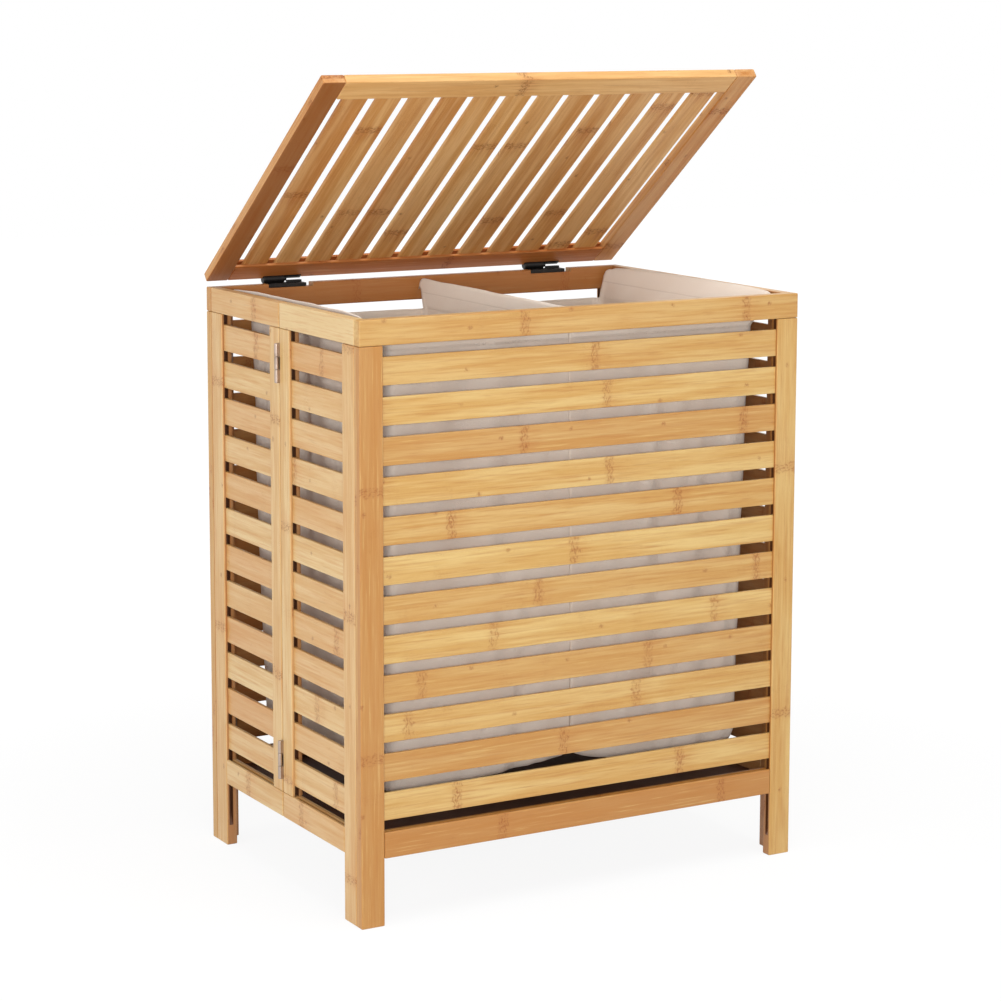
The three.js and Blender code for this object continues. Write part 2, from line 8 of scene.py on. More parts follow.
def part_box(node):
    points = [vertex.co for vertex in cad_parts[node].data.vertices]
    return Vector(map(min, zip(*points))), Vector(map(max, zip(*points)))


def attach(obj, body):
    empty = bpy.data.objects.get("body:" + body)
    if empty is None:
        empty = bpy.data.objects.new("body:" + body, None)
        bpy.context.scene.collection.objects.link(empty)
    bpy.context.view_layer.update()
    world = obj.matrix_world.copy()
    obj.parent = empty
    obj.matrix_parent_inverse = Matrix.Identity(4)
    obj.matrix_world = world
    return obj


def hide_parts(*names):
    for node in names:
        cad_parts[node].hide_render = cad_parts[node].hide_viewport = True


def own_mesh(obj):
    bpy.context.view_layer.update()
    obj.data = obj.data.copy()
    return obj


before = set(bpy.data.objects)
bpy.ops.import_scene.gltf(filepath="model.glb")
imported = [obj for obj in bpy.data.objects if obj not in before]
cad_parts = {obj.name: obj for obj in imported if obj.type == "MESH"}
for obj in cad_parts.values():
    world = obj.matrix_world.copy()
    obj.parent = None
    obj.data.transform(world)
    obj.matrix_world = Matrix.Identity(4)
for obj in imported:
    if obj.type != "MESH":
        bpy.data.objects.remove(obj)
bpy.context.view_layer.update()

# Sizes in metres. What the frame gives is read from it; the rest are the sizes of the real pieces.
rail_low, rail_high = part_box("front_top_rail")
WIDTH = rail_high.x - rail_low.x
HEIGHT = rail_high.z
STOCK = rail_high.y - rail_low.y
TOP_RAIL = rail_high.z - rail_low.z
FRONT_FACE = rail_low.y
BACK_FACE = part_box("back_top_rail")[1].y
DEPTH = BACK_FACE - FRONT_FACE
MIDDLE = (FRONT_FACE + BACK_FACE) / 2
LEG_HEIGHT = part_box("front_bottom_rail")[0].z
BOTTOM_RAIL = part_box("front_bottom_rail")[1].z - LEG_HEIGHT
LEG = 0.028
SEAM_STILE = 0.024
SEAM = 0.002
PLAY = 0.0003
HALF_WIDTH = (DEPTH - SEAM) / 2 - STOCK - PLAY
BOTTOM_RAIL_TOP = LEG_HEIGHT + BOTTOM_RAIL
TOP_RAIL_UNDERSIDE = HEIGHT - TOP_RAIL
INSIDE_WIDTH = WIDTH - 2 * STOCK
INSIDE_DEPTH = DEPTH - 2 * STOCK

SLATS = 12
SLAT_HEIGHT = 0.0305
SLAT_THICKNESS = 0.0045
SLAT_GAP = (TOP_RAIL_UNDERSIDE - BOTTOM_RAIL_TOP - SLATS * SLAT_HEIGHT) / (SLATS + 1)
GROOVE_WIDTH = 0.0049
GROOVE_DEPTH = 0.007
GROOVE_OFFSET = 0.003
SLAT_OFFSET = GROOVE_OFFSET + (GROOVE_WIDTH - SLAT_THICKNESS) / 2
RUN_OUT_HEIGHT = 0.022
RUN_OUT_LENGTH = 0.016
BOARD_EDGE = 0.0013
SLAT_EDGE = 0.0008
SAW_PAST = 0.001

LID_WIDTH = 0.557
LID_DEPTH = 0.392
LID_STOCK = 0.011
LID_STILE = 0.027
LID_HINGE_RAIL = 0.029
LID_FREE_RAIL = 0.031
LID_SLAT_WIDTH = 0.030
LID_AXIS_RISE = 0.0043
LID_AXIS_SETBACK = 0.005
LID_UNDERSIDE = 0.0007
LID_OPEN = math.radians(37.5)

KNUCKLE_RADIUS = 0.0025
KNUCKLE_EASE = 0.0006
PIN_RADIUS = 0.0011
LEAF_THICKNESS = 0.0012
CORNER_LEAF_REACH = 0.0105
SEAM_LEAF_REACH = 0.012
HINGE_OFFSET = 0.003
HINGE_LENGTH = 0.044
HINGE_HEIGHTS = {"upper": 0.571, "lower": 0.120}

BARREL_RADIUS = 0.0052
BARREL_LENGTH = 0.027
BARREL_EASE = 0.0016
LID_PIN_RADIUS = 0.0015
LID_PIN_BITE = 0.012
LID_EAR_RADIUS = 0.003
LID_EAR_LENGTH = 0.003
LID_HINGE_LENGTH = 0.049
LID_HINGE_INSET = 0.074
LID_RECESS_LENGTH = 0.058
LID_RECESS_DEPTH = 0.0045
LID_RIB_HEIGHT = 0.0024
LID_LEAF_THICKNESS = 0.002
LID_LEAF_HEEL = 0.0005
LID_NOTCH_DEPTH = BARREL_RADIUS + 2 * PLAY

CLOTH = 0.0012
BAG_TOP = 0.658
BAG_SHOULDER = 0.622
BAG_FLOOR = 0.132
BAG_DIVIDER_GAP = 0.0008
BAG_RIM_GAP = 0.004
BAG_BACK_SPACE = 0.004
BAG_CORNER = 0.014
BAG_INNER_CORNER = 0.002
BAG_WIDTH = INSIDE_WIDTH / 2 - BAG_RIM_GAP - BAG_DIVIDER_GAP / 2
BAG_DEPTH = INSIDE_DEPTH - 2 * PLAY - BAG_BACK_SPACE


# Modelling

def clear_selection():
    bpy.ops.object.select_all(action="DESELECT")


def pick(piece):
    clear_selection()
    piece.select_set(True)
    bpy.context.view_layer.objects.active = piece


def settle(piece, name):
    """Puts the piece's place and size into its mesh and names it."""
    pick(piece)
    bpy.ops.object.transform_apply(location=True, rotation=True, scale=True)
    piece.name = name
    piece.data.name = name
    return piece


def block(name, low, size):
    """A square-edged block from its low corner."""
    clear_selection()
    centre = [start + length / 2 for start, length in zip(low, size)]
    bpy.ops.mesh.primitive_cube_add(size=1, location=centre, scale=size)
    return settle(bpy.context.object, name)


TURNS = {"X": (0, math.pi / 2, 0), "Y": (-math.pi / 2, 0, 0), "Z": (0, 0, 0)}


def rod(name, start, axis, radius, length, sides=28):
    """A round bar from the middle of its first end, along the named axis."""
    clear_selection()
    middle = Vector(start)
    middle["XYZ".index(axis)] += length / 2
    bpy.ops.mesh.primitive_cylinder_add(
        vertices=sides, radius=radius, depth=length, location=middle, rotation=TURNS[axis])
    return settle(bpy.context.object, name)


def round_edges(piece, width, segments=3, where=None):
    """Rounds the edges that where(first end, second end) picks, or all of them."""
    pick(piece)
    bpy.ops.object.mode_set(mode="EDIT")
    bpy.ops.mesh.select_mode(type="EDGE")
    bpy.ops.mesh.select_all(action="DESELECT" if where else "SELECT")
    if where:
        bpy.ops.object.mode_set(mode="OBJECT")
        points = piece.data.vertices
        for edge in piece.data.edges:
            edge.select = where(points[edge.vertices[0]].co, points[edge.vertices[1]].co)
        bpy.ops.object.mode_set(mode="EDIT")
    bpy.ops.mesh.bevel(offset=width, segments=segments, profile=0.5, affect="EDGES")
    bpy.ops.object.mode_set(mode="OBJECT")
    return piece


def carve(piece, *cutters):
    """Cuts the cutters out of the piece and throws them away."""
    for cutter in cutters:
        pick(piece)
        cut = piece.modifiers.new("cut", "BOOLEAN")
        cut.operation = "DIFFERENCE"
        cut.solver = "EXACT"
        cut.object = cutter
        bpy.ops.object.modifier_apply(modifier=cut.name)
        discard(cutter)
    return piece


def discard(*pieces):
    for piece in pieces:
        bpy.data.objects.remove(piece)


def gather(name, pieces):
    """Joins several shells into one piece."""
    clear_selection()
    for piece in pieces:
        piece.select_set(True)
    bpy.context.view_layer.objects.active = pieces[0]
    bpy.ops.object.join()
    joined = bpy.context.object
    joined.name = name
    joined.data.name = name
    return joined


def copy_of(pattern, name, place=Matrix.Identity(4)):
    """A copy with its own mesh, put in its place."""
    piece = pattern.copy()
    piece.data = pattern.data.copy()
    piece.name = name
    piece.data.name = name
    piece.data.transform(place)
    bpy.context.scene.collection.objects.link(piece)
    return piece


def smooth(piece, degrees=38):
    """Smooth rounded edges between faces that stay flat."""
    pick(piece)
    bpy.ops.object.shade_smooth_by_angle(angle=math.radians(degrees))
    flat_faces = piece.modifiers.new("flat faces", "WEIGHTED_NORMAL")
    flat_faces.keep_sharp = True
    return piece


def fit(piece, body, slot, finish, *nodes):
    """Hands a finished piece to its body, its material and the CAD nodes that it stands for."""
    piece.data.materials.clear()
    piece.data.materials.append(finish)
    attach(piece, body)
    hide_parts(*nodes)
    return piece


# Boards

# A board keeps three attributes for its finish: "grain", where its points lie along, through and across it,
# "tone", from pale to deep, and "inner", how much painted shade a face gets where little light reaches it: up
# to 1 towards brown, and above 1 towards nearly black for a painted shadow.
FACING = 0.7
PAINTED_EDGE_SHADE = 0.5
PAINTED_INNER_SHADE = 1.0
PAINTED_UNDERSIDE_SHADE = 1.3
PAINTED_GROOVE_SHADOW = 1.85
GRAIN_RUN = 30
PLAIN_TONE = 0.5


def paint_shade(board, shade, direction):
    """Paints shade on the faces that look in a direction."""
    for face, inner in zip(board.data.polygons, board.data.attributes["inner"].data):
        if face.normal.dot(direction) > FACING:
            inner.value = shade


def lay_grain(piece, along, through):
    """Notes where each point lies in the board, and paints shade on an upright board's inner face."""
    across = next(axis for axis in "XYZ" if axis not in (along, through))
    order = ["XYZ".index(axis) for axis in (along, through, across)]
    grain = piece.data.attributes.new("grain", "FLOAT_VECTOR", "POINT")
    grain.data.foreach_set("vector", [point.co[axis] for point in piece.data.vertices for axis in order])
    piece.data.attributes.new("inner", "FLOAT", "FACE")
    if through == "Y":
        paint_shade(piece, PAINTED_INNER_SHADE, Vector((0, 1, 0)))
    return piece


def season(piece, rng, tone=None):
    """Gives one board its own stretch of bamboo and its tone, or a fairly pale one drawn by chance."""
    shift = rng.uniform(0, GRAIN_RUN)
    grain = piece.data.attributes["grain"]
    for item in grain.data:
        item.vector.x += shift
    value = rng.random() * PLAIN_TONE if tone is None else tone
    tones = piece.data.attributes.new("tone", "FLOAT", "POINT")
    tones.data.foreach_set("value", [value] * len(piece.data.vertices))
    return piece


def plank(name, low, size, along, cutters=(), edge=BOARD_EDGE, through="Y"):
    """A board with rounded edges. Its fibres run along one axis, and its thickness is through another."""
    piece = round_edges(block(name, low, size), edge)
    return lay_grain(smooth(carve(piece, *cutters)), along, through)


def upright_groove(edge, opens, low, high, runs_out):
    """The cutter for a stile's groove; above a foot its end runs out to the edge in a slope."""
    start = edge - GROOVE_DEPTH if opens > 0 else edge - SAW_PAST
    cutter = block("groove", (start, GROOVE_OFFSET, low), (GROOVE_DEPTH + SAW_PAST, GROOVE_WIDTH, high - low))
    if runs_out:
        deep = edge - opens * GROOVE_DEPTH
        pick(cutter)
        bpy.ops.object.mode_set(mode="EDIT")
        bpy.ops.mesh.select_all(action="DESELECT")
        bpy.ops.object.mode_set(mode="OBJECT")
        for point in cutter.data.vertices:
            point.select = abs(point.co.x - deep) < PLAY and abs(point.co.z - low) < PLAY
        bpy.ops.object.mode_set(mode="EDIT")
        bpy.ops.transform.translate(value=(0, 0, RUN_OUT_LENGTH))
        bpy.ops.object.mode_set(mode="OBJECT")
    return cutter


def leaf_recess(edge, opens, low):
    """The cutter for the seat of a seam hinge's leaf in the stile's meeting edge."""
    depth = LEAF_THICKNESS + PLAY
    start = edge - depth if opens > 0 else edge - SAW_PAST
    return block(
        "leaf seat", (start, -SAW_PAST, low - PLAY),
        (depth + SAW_PAST, SAW_PAST + SEAM_LEAF_REACH - HINGE_OFFSET + PLAY, HINGE_LENGTH + 2 * PLAY))


def paint_opening_shade(board, edge, opens):
    """Paints shade on the stile's edge that faces the opening, less in front of the slats than behind them,
    and a painted shadow in its groove.
    """
    for face, inner in zip(board.data.polygons, board.data.attributes["inner"].data):
        depth = opens * (edge - face.center.x)
        behind = face.center.y - GROOVE_OFFSET
        if PLAY < depth < GROOVE_DEPTH + PLAY and -PLAY < behind < GROOVE_WIDTH + PLAY:
            inner.value = PAINTED_GROOVE_SHADOW
        elif depth < PLAY and opens * face.normal.x > FACING:
            inner.value = PAINTED_EDGE_SHADE if behind < 0 else PAINTED_INNER_SHADE
    return board


def stile(start, width, is_leg, opens):
    """An upright. The slats enter its +X edge when opens is 1, and its -X edge when opens is -1."""
    foot = 0 if is_leg else BOTTOM_RAIL_TOP + PLAY
    top = TOP_RAIL_UNDERSIDE - PLAY
    groove_edge = start + width if opens > 0 else start
    meeting_edge = start if opens > 0 else start + width
    groove_foot = RUN_OUT_HEIGHT if is_leg else foot - SAW_PAST
    cutters = [upright_groove(groove_edge, opens, groove_foot, top + SAW_PAST, is_leg)]
    if not is_leg:
        cutters += [leaf_recess(meeting_edge, -opens, low) for low in HINGE_HEIGHTS.values()]
    board = plank("stile", (start, 0, foot), (width, STOCK, top - foot), "Z", cutters)
    return paint_opening_shade(board, groove_edge, opens)


def hinge_recess(start):
    """The cutter for the seat of a lid hinge in the back top rail."""
    return block(
        "hinge seat", (start, -SAW_PAST, HEIGHT - LID_RECESS_DEPTH),
        (LID_RECESS_LENGTH, STOCK + 2 * SAW_PAST, LID_RECESS_DEPTH + SAW_PAST))


def top_rail(width, near, far, recesses=()):
    groove = block(
        "groove", (near, GROOVE_OFFSET, TOP_RAIL_UNDERSIDE - SAW_PAST),
        (width - near - far, GROOVE_WIDTH, GROOVE_DEPTH + SAW_PAST))
    return plank("top rail", (0, 0, TOP_RAIL_UNDERSIDE), (width, STOCK, TOP_RAIL), "X", [groove, *recesses])


def bottom_rail(width, near, far, near_is_leg, far_is_leg):
    start = near + PLAY if near_is_leg else 0
    end = width - far - PLAY if far_is_leg else width
    groove = block(
        "groove", (near, GROOVE_OFFSET, BOTTOM_RAIL_TOP - GROOVE_DEPTH),
        (width - near - far, GROOVE_WIDTH, GROOVE_DEPTH + SAW_PAST))
    return plank("bottom rail", (start, 0, LEG_HEIGHT), (end - start, STOCK, BOTTOM_RAIL), "X", [groove])


def slat(start, length):
    return plank(
        "slat", (start, SLAT_OFFSET, BOTTOM_RAIL_TOP + SLAT_GAP), (length, SLAT_THICKNESS, SLAT_HEIGHT), "X",
        edge=SLAT_EDGE)


def panel_patterns(width, near, far, near_is_leg, far_is_leg):
    """The boards of a slatted panel that stands in XZ, its outer face at y = 0."""
    reach = GROOVE_DEPTH - PLAY
    return {
        "near": stile(0, near, near_is_leg, 1),
        "far": stile(width - far, far, far_is_leg, -1),
        "top": top_rail(width, near, far),
        "bottom": bottom_rail(width, near, far, near_is_leg, far_is_leg),
        "slat": slat(near - reach, width - near - far + 2 * reach),
    }


# Tones of the boards that stand out in the photograph: 0 is pale, 1 is deep, below 0 is paler still.
# Some hold painted light as well as the board's own tone: the lid's hinge rail is deepened partly for
# painted shade, and the lid's free rail and the left front top rail are paled partly for painted light.
BOARD_TONES_AND_PAINTED_LIGHT = {
    "front_left_post_board": 0.95, "front_right_post_board": 0.2, "front_top_board": 0.34,
    "front_bottom_board": 1.25, "back_top_board": 0.8, "back_bottom_board": 0.85,
    "left_front_top_board": -0.8, "left_front_seam_board": 0.1, "left_front_outer_stile": 0.15,
    "lid_left_board": 0.4, "lid_right_board": 0.5, "lid_hinge_board": 1.1, "lid_free_board": -0.3}
SLAT_TONE = 0.12
SLAT_TONE_STEP = 0.34
SLAT_TONE_SPREAD = 0.1
SEEDS = {"front": 4, "back": 9, "lid": 21}


def build_panel(patterns, label, comb, uprights, place, body, slot, finish, rng):
    """Sets out one panel's boards. Uprights gives the near and the far upright's name and node, and comb is
    the node that holds the slats and one upright."""
    boards = {
        "top": (f"{label}_top_board", f"{label}_top_rail"),
        "bottom": (f"{label}_bottom_board", f"{label}_bottom_rail"), **uprights}
    for part in ("near", "far", "top", "bottom"):
        name, node = boards[part]
        board = season(copy_of(patterns[part], name, place), rng, BOARD_TONES_AND_PAINTED_LIGHT.get(name))
        fit(board, body, slot, finish, node)
    slats = []
    for i in range(SLATS):
        rise = Matrix.Translation((0, 0, i * (SLAT_HEIGHT + SLAT_GAP)))
        tone = SLAT_TONE + SLAT_TONE_STEP * (i % 2) + rng.uniform(-SLAT_TONE_SPREAD, SLAT_TONE_SPREAD)
        slats.append(season(copy_of(patterns["slat"], "slat", place @ rise), rng, tone))
    fit(gather(f"{label}_slats", slats), body, slot, finish, comb)


def build_end_panels(finish):
    patterns = panel_patterns(WIDTH, LEG, LEG, True, True)
    turned = Matrix.Translation((WIDTH / 2, BACK_FACE, 0)) @ Matrix.Rotation(math.pi, 4, "Z")
    ends = [
        ("front", "left", "right", Matrix.Translation((-WIDTH / 2, FRONT_FACE, 0))),
        ("back", "right", "left", turned),
    ]
    for label, near, far, place in ends:
        if label == "back":
            discard(patterns["top"])
            seats = [hinge_recess(WIDTH / 2 - start - LID_RECESS_LENGTH) for start in LID_HINGES.values()]
            patterns["top"] = top_rail(WIDTH, LEG, LEG, seats)
        comb = f"{label}_{near}_post_with_slats"
        uprights = {
            "near": (f"{label}_{near}_post_board", comb),
            "far": (f"{label}_{far}_post_board", f"{label}_{far}_post")}
        rng = random.Random(SEEDS[label])
        build_panel(patterns, label, comb, uprights, place, f"{label}_frame", "bamboo", finish, rng)
    discard(*patterns.values())


def build_half_panels(finish):
    """Each half panel is drawn from one end, and its outer stile is near that end or far from it."""
    reach = DEPTH / 2 - STOCK - PLAY
    halves = {True: ("left_rear", "right_front"), False: ("left_front", "right_rear")}
    for outer_is_near, labels in halves.items():
        near, far = (LEG, SEAM_STILE) if outer_is_near else (SEAM_STILE, LEG)
        outer, seam = ("near", "far") if outer_is_near else ("far", "near")
        patterns = panel_patterns(HALF_WIDTH, near, far, outer_is_near, not outer_is_near)
        for label in labels:
            side = -1 if label.startswith("left") else 1
            start = MIDDLE - side * (reach if outer_is_near else -SEAM / 2)
            turn = Matrix.Rotation(side * math.pi / 2, 4, "Z")
            place = Matrix.Translation((side * WIDTH / 2, start, 0)) @ turn
            comb = f"{label}_stile_with_slats"
            uprights = {
                outer: (f"{label}_outer_stile", comb),
                seam: (f"{label}_seam_board", f"{label}_seam_stile")}
            rng = random.Random(label)
            # The side halves take the bamboo copy painted paler for the light on the sides
            build_panel(patterns, label, comb, uprights, place, f"{label}_half", "pale_bamboo", finish, rng)
        discard(*patterns.values())


# Lid, drawn shut with its hinge axis on X at the origin

LID_HINGES = {"left": -WIDTH / 2 + LID_HINGE_INSET, "right": WIDTH / 2 - LID_HINGE_INSET - LID_RECESS_LENGTH}
LID_AXIS = Vector((0, BACK_FACE + LID_AXIS_SETBACK, HEIGHT + LID_AXIS_RISE))
LID_PLACE = Matrix.Translation(LID_AXIS) @ Matrix.Rotation(-LID_OPEN, 4, "X")


def lid_notch(start):
    return block(
        "notch", (start - PLAY, -LID_NOTCH_DEPTH, LID_UNDERSIDE - SAW_PAST),
        (LID_HINGE_LENGTH + 2 * PLAY, LID_NOTCH_DEPTH + SAW_PAST, LID_STOCK + 2 * SAW_PAST))


def lid_rail(low, width, opens, cutters=()):
    """A rail of the lid. The slats enter its +Y edge when opens is 1, and its -Y edge when opens is -1."""
    start = -LID_WIDTH / 2 + LID_STILE + PLAY
    length = LID_WIDTH - 2 * LID_STILE - 2 * PLAY
    groove_start = low + width - GROOVE_DEPTH if opens > 0 else low - SAW_PAST
    groove = block(
        "groove", (start - SAW_PAST, groove_start, LID_UNDERSIDE + GROOVE_OFFSET),
        (length + 2 * SAW_PAST, GROOVE_DEPTH + SAW_PAST, GROOVE_WIDTH))
    return plank(
        "lid rail", (start, low, LID_UNDERSIDE), (length, width, LID_STOCK), "X", [groove, *cutters],
        through="Z")


def build_lid(finish):
    rng = random.Random(SEEDS["lid"])
    opening = LID_WIDTH - 2 * LID_STILE
    gap = (opening - SLATS * LID_SLAT_WIDTH) / (SLATS + 1)
    reach = GROOVE_DEPTH - PLAY
    slat_low = -LID_DEPTH + LID_FREE_RAIL - reach
    slat_length = LID_DEPTH - LID_FREE_RAIL - LID_HINGE_RAIL + 2 * reach
    slat_pattern = plank(
        "lid slat", (-opening / 2 + gap, slat_low, LID_UNDERSIDE + SLAT_OFFSET),
        (LID_SLAT_WIDTH, slat_length, SLAT_THICKNESS), "Y", edge=SLAT_EDGE, through="Z")
    stile_pattern = plank(
        "lid stile", (-LID_WIDTH / 2, -LID_DEPTH, LID_UNDERSIDE), (LID_STILE, LID_DEPTH, LID_STOCK), "Y",
        through="Z")
    notches = [lid_notch(start) for start in LID_HINGES.values()]
    rails = {
        "lid_hinge_board": (lid_rail(-LID_HINGE_RAIL, LID_HINGE_RAIL, -1, notches), "lid_hinge_rail"),
        "lid_free_board": (lid_rail(-LID_DEPTH, LID_FREE_RAIL, 1), "lid_free_rail_with_slats"),
    }
    for name, (pattern, node) in rails.items():
        board = season(copy_of(pattern, name, LID_PLACE), rng, BOARD_TONES_AND_PAINTED_LIGHT[name])
        fit(board, "lid", "lid_bamboo", finish, node)
        discard(pattern)
    for side, shift in (("left", 0), ("right", LID_WIDTH - LID_STILE)):
        board = copy_of(stile_pattern, f"lid_{side}_board", LID_PLACE @ Matrix.Translation((shift, 0, 0)))
        season(board, rng, BOARD_TONES_AND_PAINTED_LIGHT[board.name])
        # Painted shade on the left stile's underside
        if side == "left":
            paint_shade(board, PAINTED_UNDERSIDE_SHADE, LID_PLACE.to_3x3() @ Vector((0, 0, -1)))
        fit(board, "lid", "lid_bamboo", finish, f"lid_{side}_stile")
    slats = []
    for i in range(SLATS):
        place = LID_PLACE @ Matrix.Translation((i * (LID_SLAT_WIDTH + gap), 0, 0))
        slats.append(season(copy_of(slat_pattern, "slat", place), rng))
    fit(gather("lid_slats", slats), "lid", "lid_bamboo", finish, "lid_free_rail_with_slats")
    discard(slat_pattern, stile_pattern)


# Butt hinges, each leaf drawn with its pin on Z at the origin and its plate reaching out along +X

SCREW_RADIUS = 0.0019
SCREW_PROUD = 0.00035
SCREW_HEAD = SCREW_PROUD * 3
SCREW_EASE = SCREW_PROUD * 0.6
CROSS_LENGTH = SCREW_RADIUS * 1.1
CROSS_WIDTH = CROSS_LENGTH / 4
CROSS_DEPTH = SCREW_PROUD * 4
LEAF_CORNER = 0.0016
LEAF_EDGE = 0.00015
LEAF_SCREWS = (0.16, 0.5, 0.84)


def screw_head(centre, axis, towards):
    """A countersunk screw head with a cross in it, a little proud of the plate it holds. It looks along the
    axis when towards is 1, and against it when towards is -1."""
    along = "XYZ".index(axis)
    start = list(centre)
    start[along] -= SCREW_PROUD if towards < 0 else SCREW_PROUD * 2
    head = rod("screw", start, axis, SCREW_RADIUS, SCREW_HEAD, sides=20)
    round_edges(head, SCREW_EASE, segments=2)
    slots = []
    for size in ([CROSS_WIDTH, CROSS_LENGTH], [CROSS_LENGTH, CROSS_WIDTH]):
        size.insert(along, CROSS_DEPTH)
        low = [middle - length / 2 for middle, length in zip(centre, size)]
        low[along] = centre[along] - (0 if towards > 0 else CROSS_DEPTH)
        slots.append(block("cross", low, size))
    return smooth(carve(head, *slots))


def leaf_plate(wood, inner, start, reach, low, height):
    y = inner if wood > 0 else -inner - LEAF_THICKNESS
    return block("plate", (start, y, low), (reach - start, LEAF_THICKNESS, height))


def leaf_pattern(wood, has_pin, inner, reach, has_screws):
    """One leaf. Its plate lies on the +Y side of the pin when wood is 1, on the -Y side when wood is -1,
    with its near face at the distance inner."""
    third = HINGE_LENGTH / 3
    plate = leaf_plate(wood, inner, KNUCKLE_RADIUS + 2 * PLAY, reach, 0, HINGE_LENGTH)
    round_edges(
        plate, LEAF_CORNER, segments=4,
        where=lambda a, b: min(a.x, b.x) > reach - PLAY and abs(a.y - b.y) > PLAY)
    shells = [smooth(round_edges(plate, LEAF_EDGE, segments=1))]
    lows = [0, HINGE_LENGTH - third] if has_pin else [third + PLAY]
    height = third if has_pin else third - 2 * PLAY
    for low in lows:
        shells.append(smooth(leaf_plate(wood, inner, 0, KNUCKLE_RADIUS + 3 * PLAY, low, height)))
        knuckle = rod("knuckle", (0, 0, low), "Z", KNUCKLE_RADIUS, height, sides=32)
        round_edges(knuckle, KNUCKLE_EASE, segments=2, where=lambda a, b: abs(a.z - b.z) < PLAY)
        shells.append(smooth(knuckle))
    if has_pin:
        pin = rod("pin", (0, 0, -PLAY), "Z", PIN_RADIUS, HINGE_LENGTH + 2 * PLAY, sides=20)
        shells.append(smooth(pin))
    if has_screws:
        face = inner if wood > 0 else -inner
        x = (KNUCKLE_RADIUS + reach) / 2 + PLAY
        shells += [screw_head((x, face, HINGE_LENGTH * share), "Y", -wood) for share in LEAF_SCREWS]
    return gather("leaf", shells)


def build_leaves(finish):
    kinds = {
        "corner": (HINGE_OFFSET - PLAY - LEAF_THICKNESS, CORNER_LEAF_REACH, True),
        "seam": (SEAM / 2, SEAM_LEAF_REACH, False)}
    patterns = {
        (kind, wood, has_pin): leaf_pattern(wood, has_pin, *measures)
        for kind, measures in kinds.items() for wood in (-1, 1) for has_pin in (True, False)}

    def hang(name, kind, pin, direction, wood, has_pin, body):
        """Hangs a leaf whose plate points in a direction from the pin, with the wood on the side given."""
        handed = 1 if direction[0] * wood[1] - direction[1] * wood[0] > 0 else -1
        turn = Matrix.Rotation(math.atan2(direction[1], direction[0]), 4, "Z")
        leaf = copy_of(patterns[kind, handed, has_pin], f"{name}_metal", Matrix.Translation(pin) @ turn)
        fit(leaf, body, "bright_steel", finish, name)

    for level, low in HINGE_HEIGHTS.items():
        for side, sx in (("left", -1), ("right", 1)):
            for end, sy, half in (("front", -1, "front"), ("back", 1, "rear")):
                x = sx * (INSIDE_WIDTH / 2 - HINGE_OFFSET)
                pin = (x, MIDDLE + sy * (INSIDE_DEPTH / 2 - HINGE_OFFSET), low)
                name = f"{end}_{side}_{level}_hinge"
                hang(f"{name}_post_leaf", "corner", pin, (-sx, 0), (0, sy), True, f"{end}_frame")
                hang(f"{name}_stile_leaf", "corner", pin, (0, -sy), (sx, 0), False, f"{side}_{half}_half")
            pin = (sx * (WIDTH / 2 + HINGE_OFFSET), MIDDLE, low)
            name = f"{side}_seam_{level}_hinge"
            hang(f"{name}_front_leaf", "seam", pin, (-sx, 0), (0, -1), True, f"{side}_front_half")
            hang(f"{name}_rear_leaf", "seam", pin, (-sx, 0), (0, 1), False, f"{side}_rear_half")
    discard(*patterns.values())


# Friction hinges of the lid, drawn like the lid

METAL_EDGE = 0.0003
LID_BASE_SCREWS = (0.24, 0.5, 0.84)
LID_BASE_SCREW_DEPTH = STOCK * 0.45
LID_LEAF_SCREWS = (0.35, 0.78)
LID_LEAF_SCREW_HEIGHT = LID_STOCK * 0.55


def rounded_block(name, low, size):
    return smooth(round_edges(block(name, low, size), METAL_EDGE, segments=2))


def lid_base_pattern():
    """The plate let into the back rail, the barrel behind the rail and the rib beside the barrel."""
    barrel = rod("barrel", (0, 0, 0), "X", BARREL_RADIUS, BARREL_LENGTH, sides=36)
    round_edges(barrel, BARREL_EASE, segments=4, where=lambda a, b: max(a.x, b.x) < PLAY)
    round_edges(barrel, PLAY, segments=1, where=lambda a, b: min(a.x, b.x) > BARREL_LENGTH - PLAY / 2)
    bore_start = BARREL_LENGTH - LID_PIN_BITE - PLAY
    bore_length = LID_PIN_BITE + 2 * SAW_PAST
    bore = rod("bore", (bore_start, 0, 0), "X", LID_PIN_RADIUS + PLAY, bore_length, sides=24)
    depth = STOCK + LID_AXIS_SETBACK
    low = -LID_AXIS_RISE - LID_RECESS_DEPTH + PLAY
    plate = rounded_block(
        "plate", (PLAY, -depth, low), (LID_HINGE_LENGTH - PLAY, depth, LID_RECESS_DEPTH - PLAY))
    rib_start = BARREL_LENGTH + LID_EAR_LENGTH + 2 * PLAY
    rib = rounded_block(
        "rib", (rib_start, -LID_AXIS_SETBACK, -LID_AXIS_RISE - SAW_PAST),
        (LID_HINGE_LENGTH - rib_start, LID_AXIS_SETBACK, LID_RIB_HEIGHT + SAW_PAST))
    shells = [smooth(carve(barrel, bore)), plate, rib]
    for share in LID_BASE_SCREWS:
        centre = (LID_HINGE_LENGTH * share, -depth + LID_BASE_SCREW_DEPTH, -LID_AXIS_RISE)
        shells.append(screw_head(centre, "Z", 1))
    return gather("base", shells)


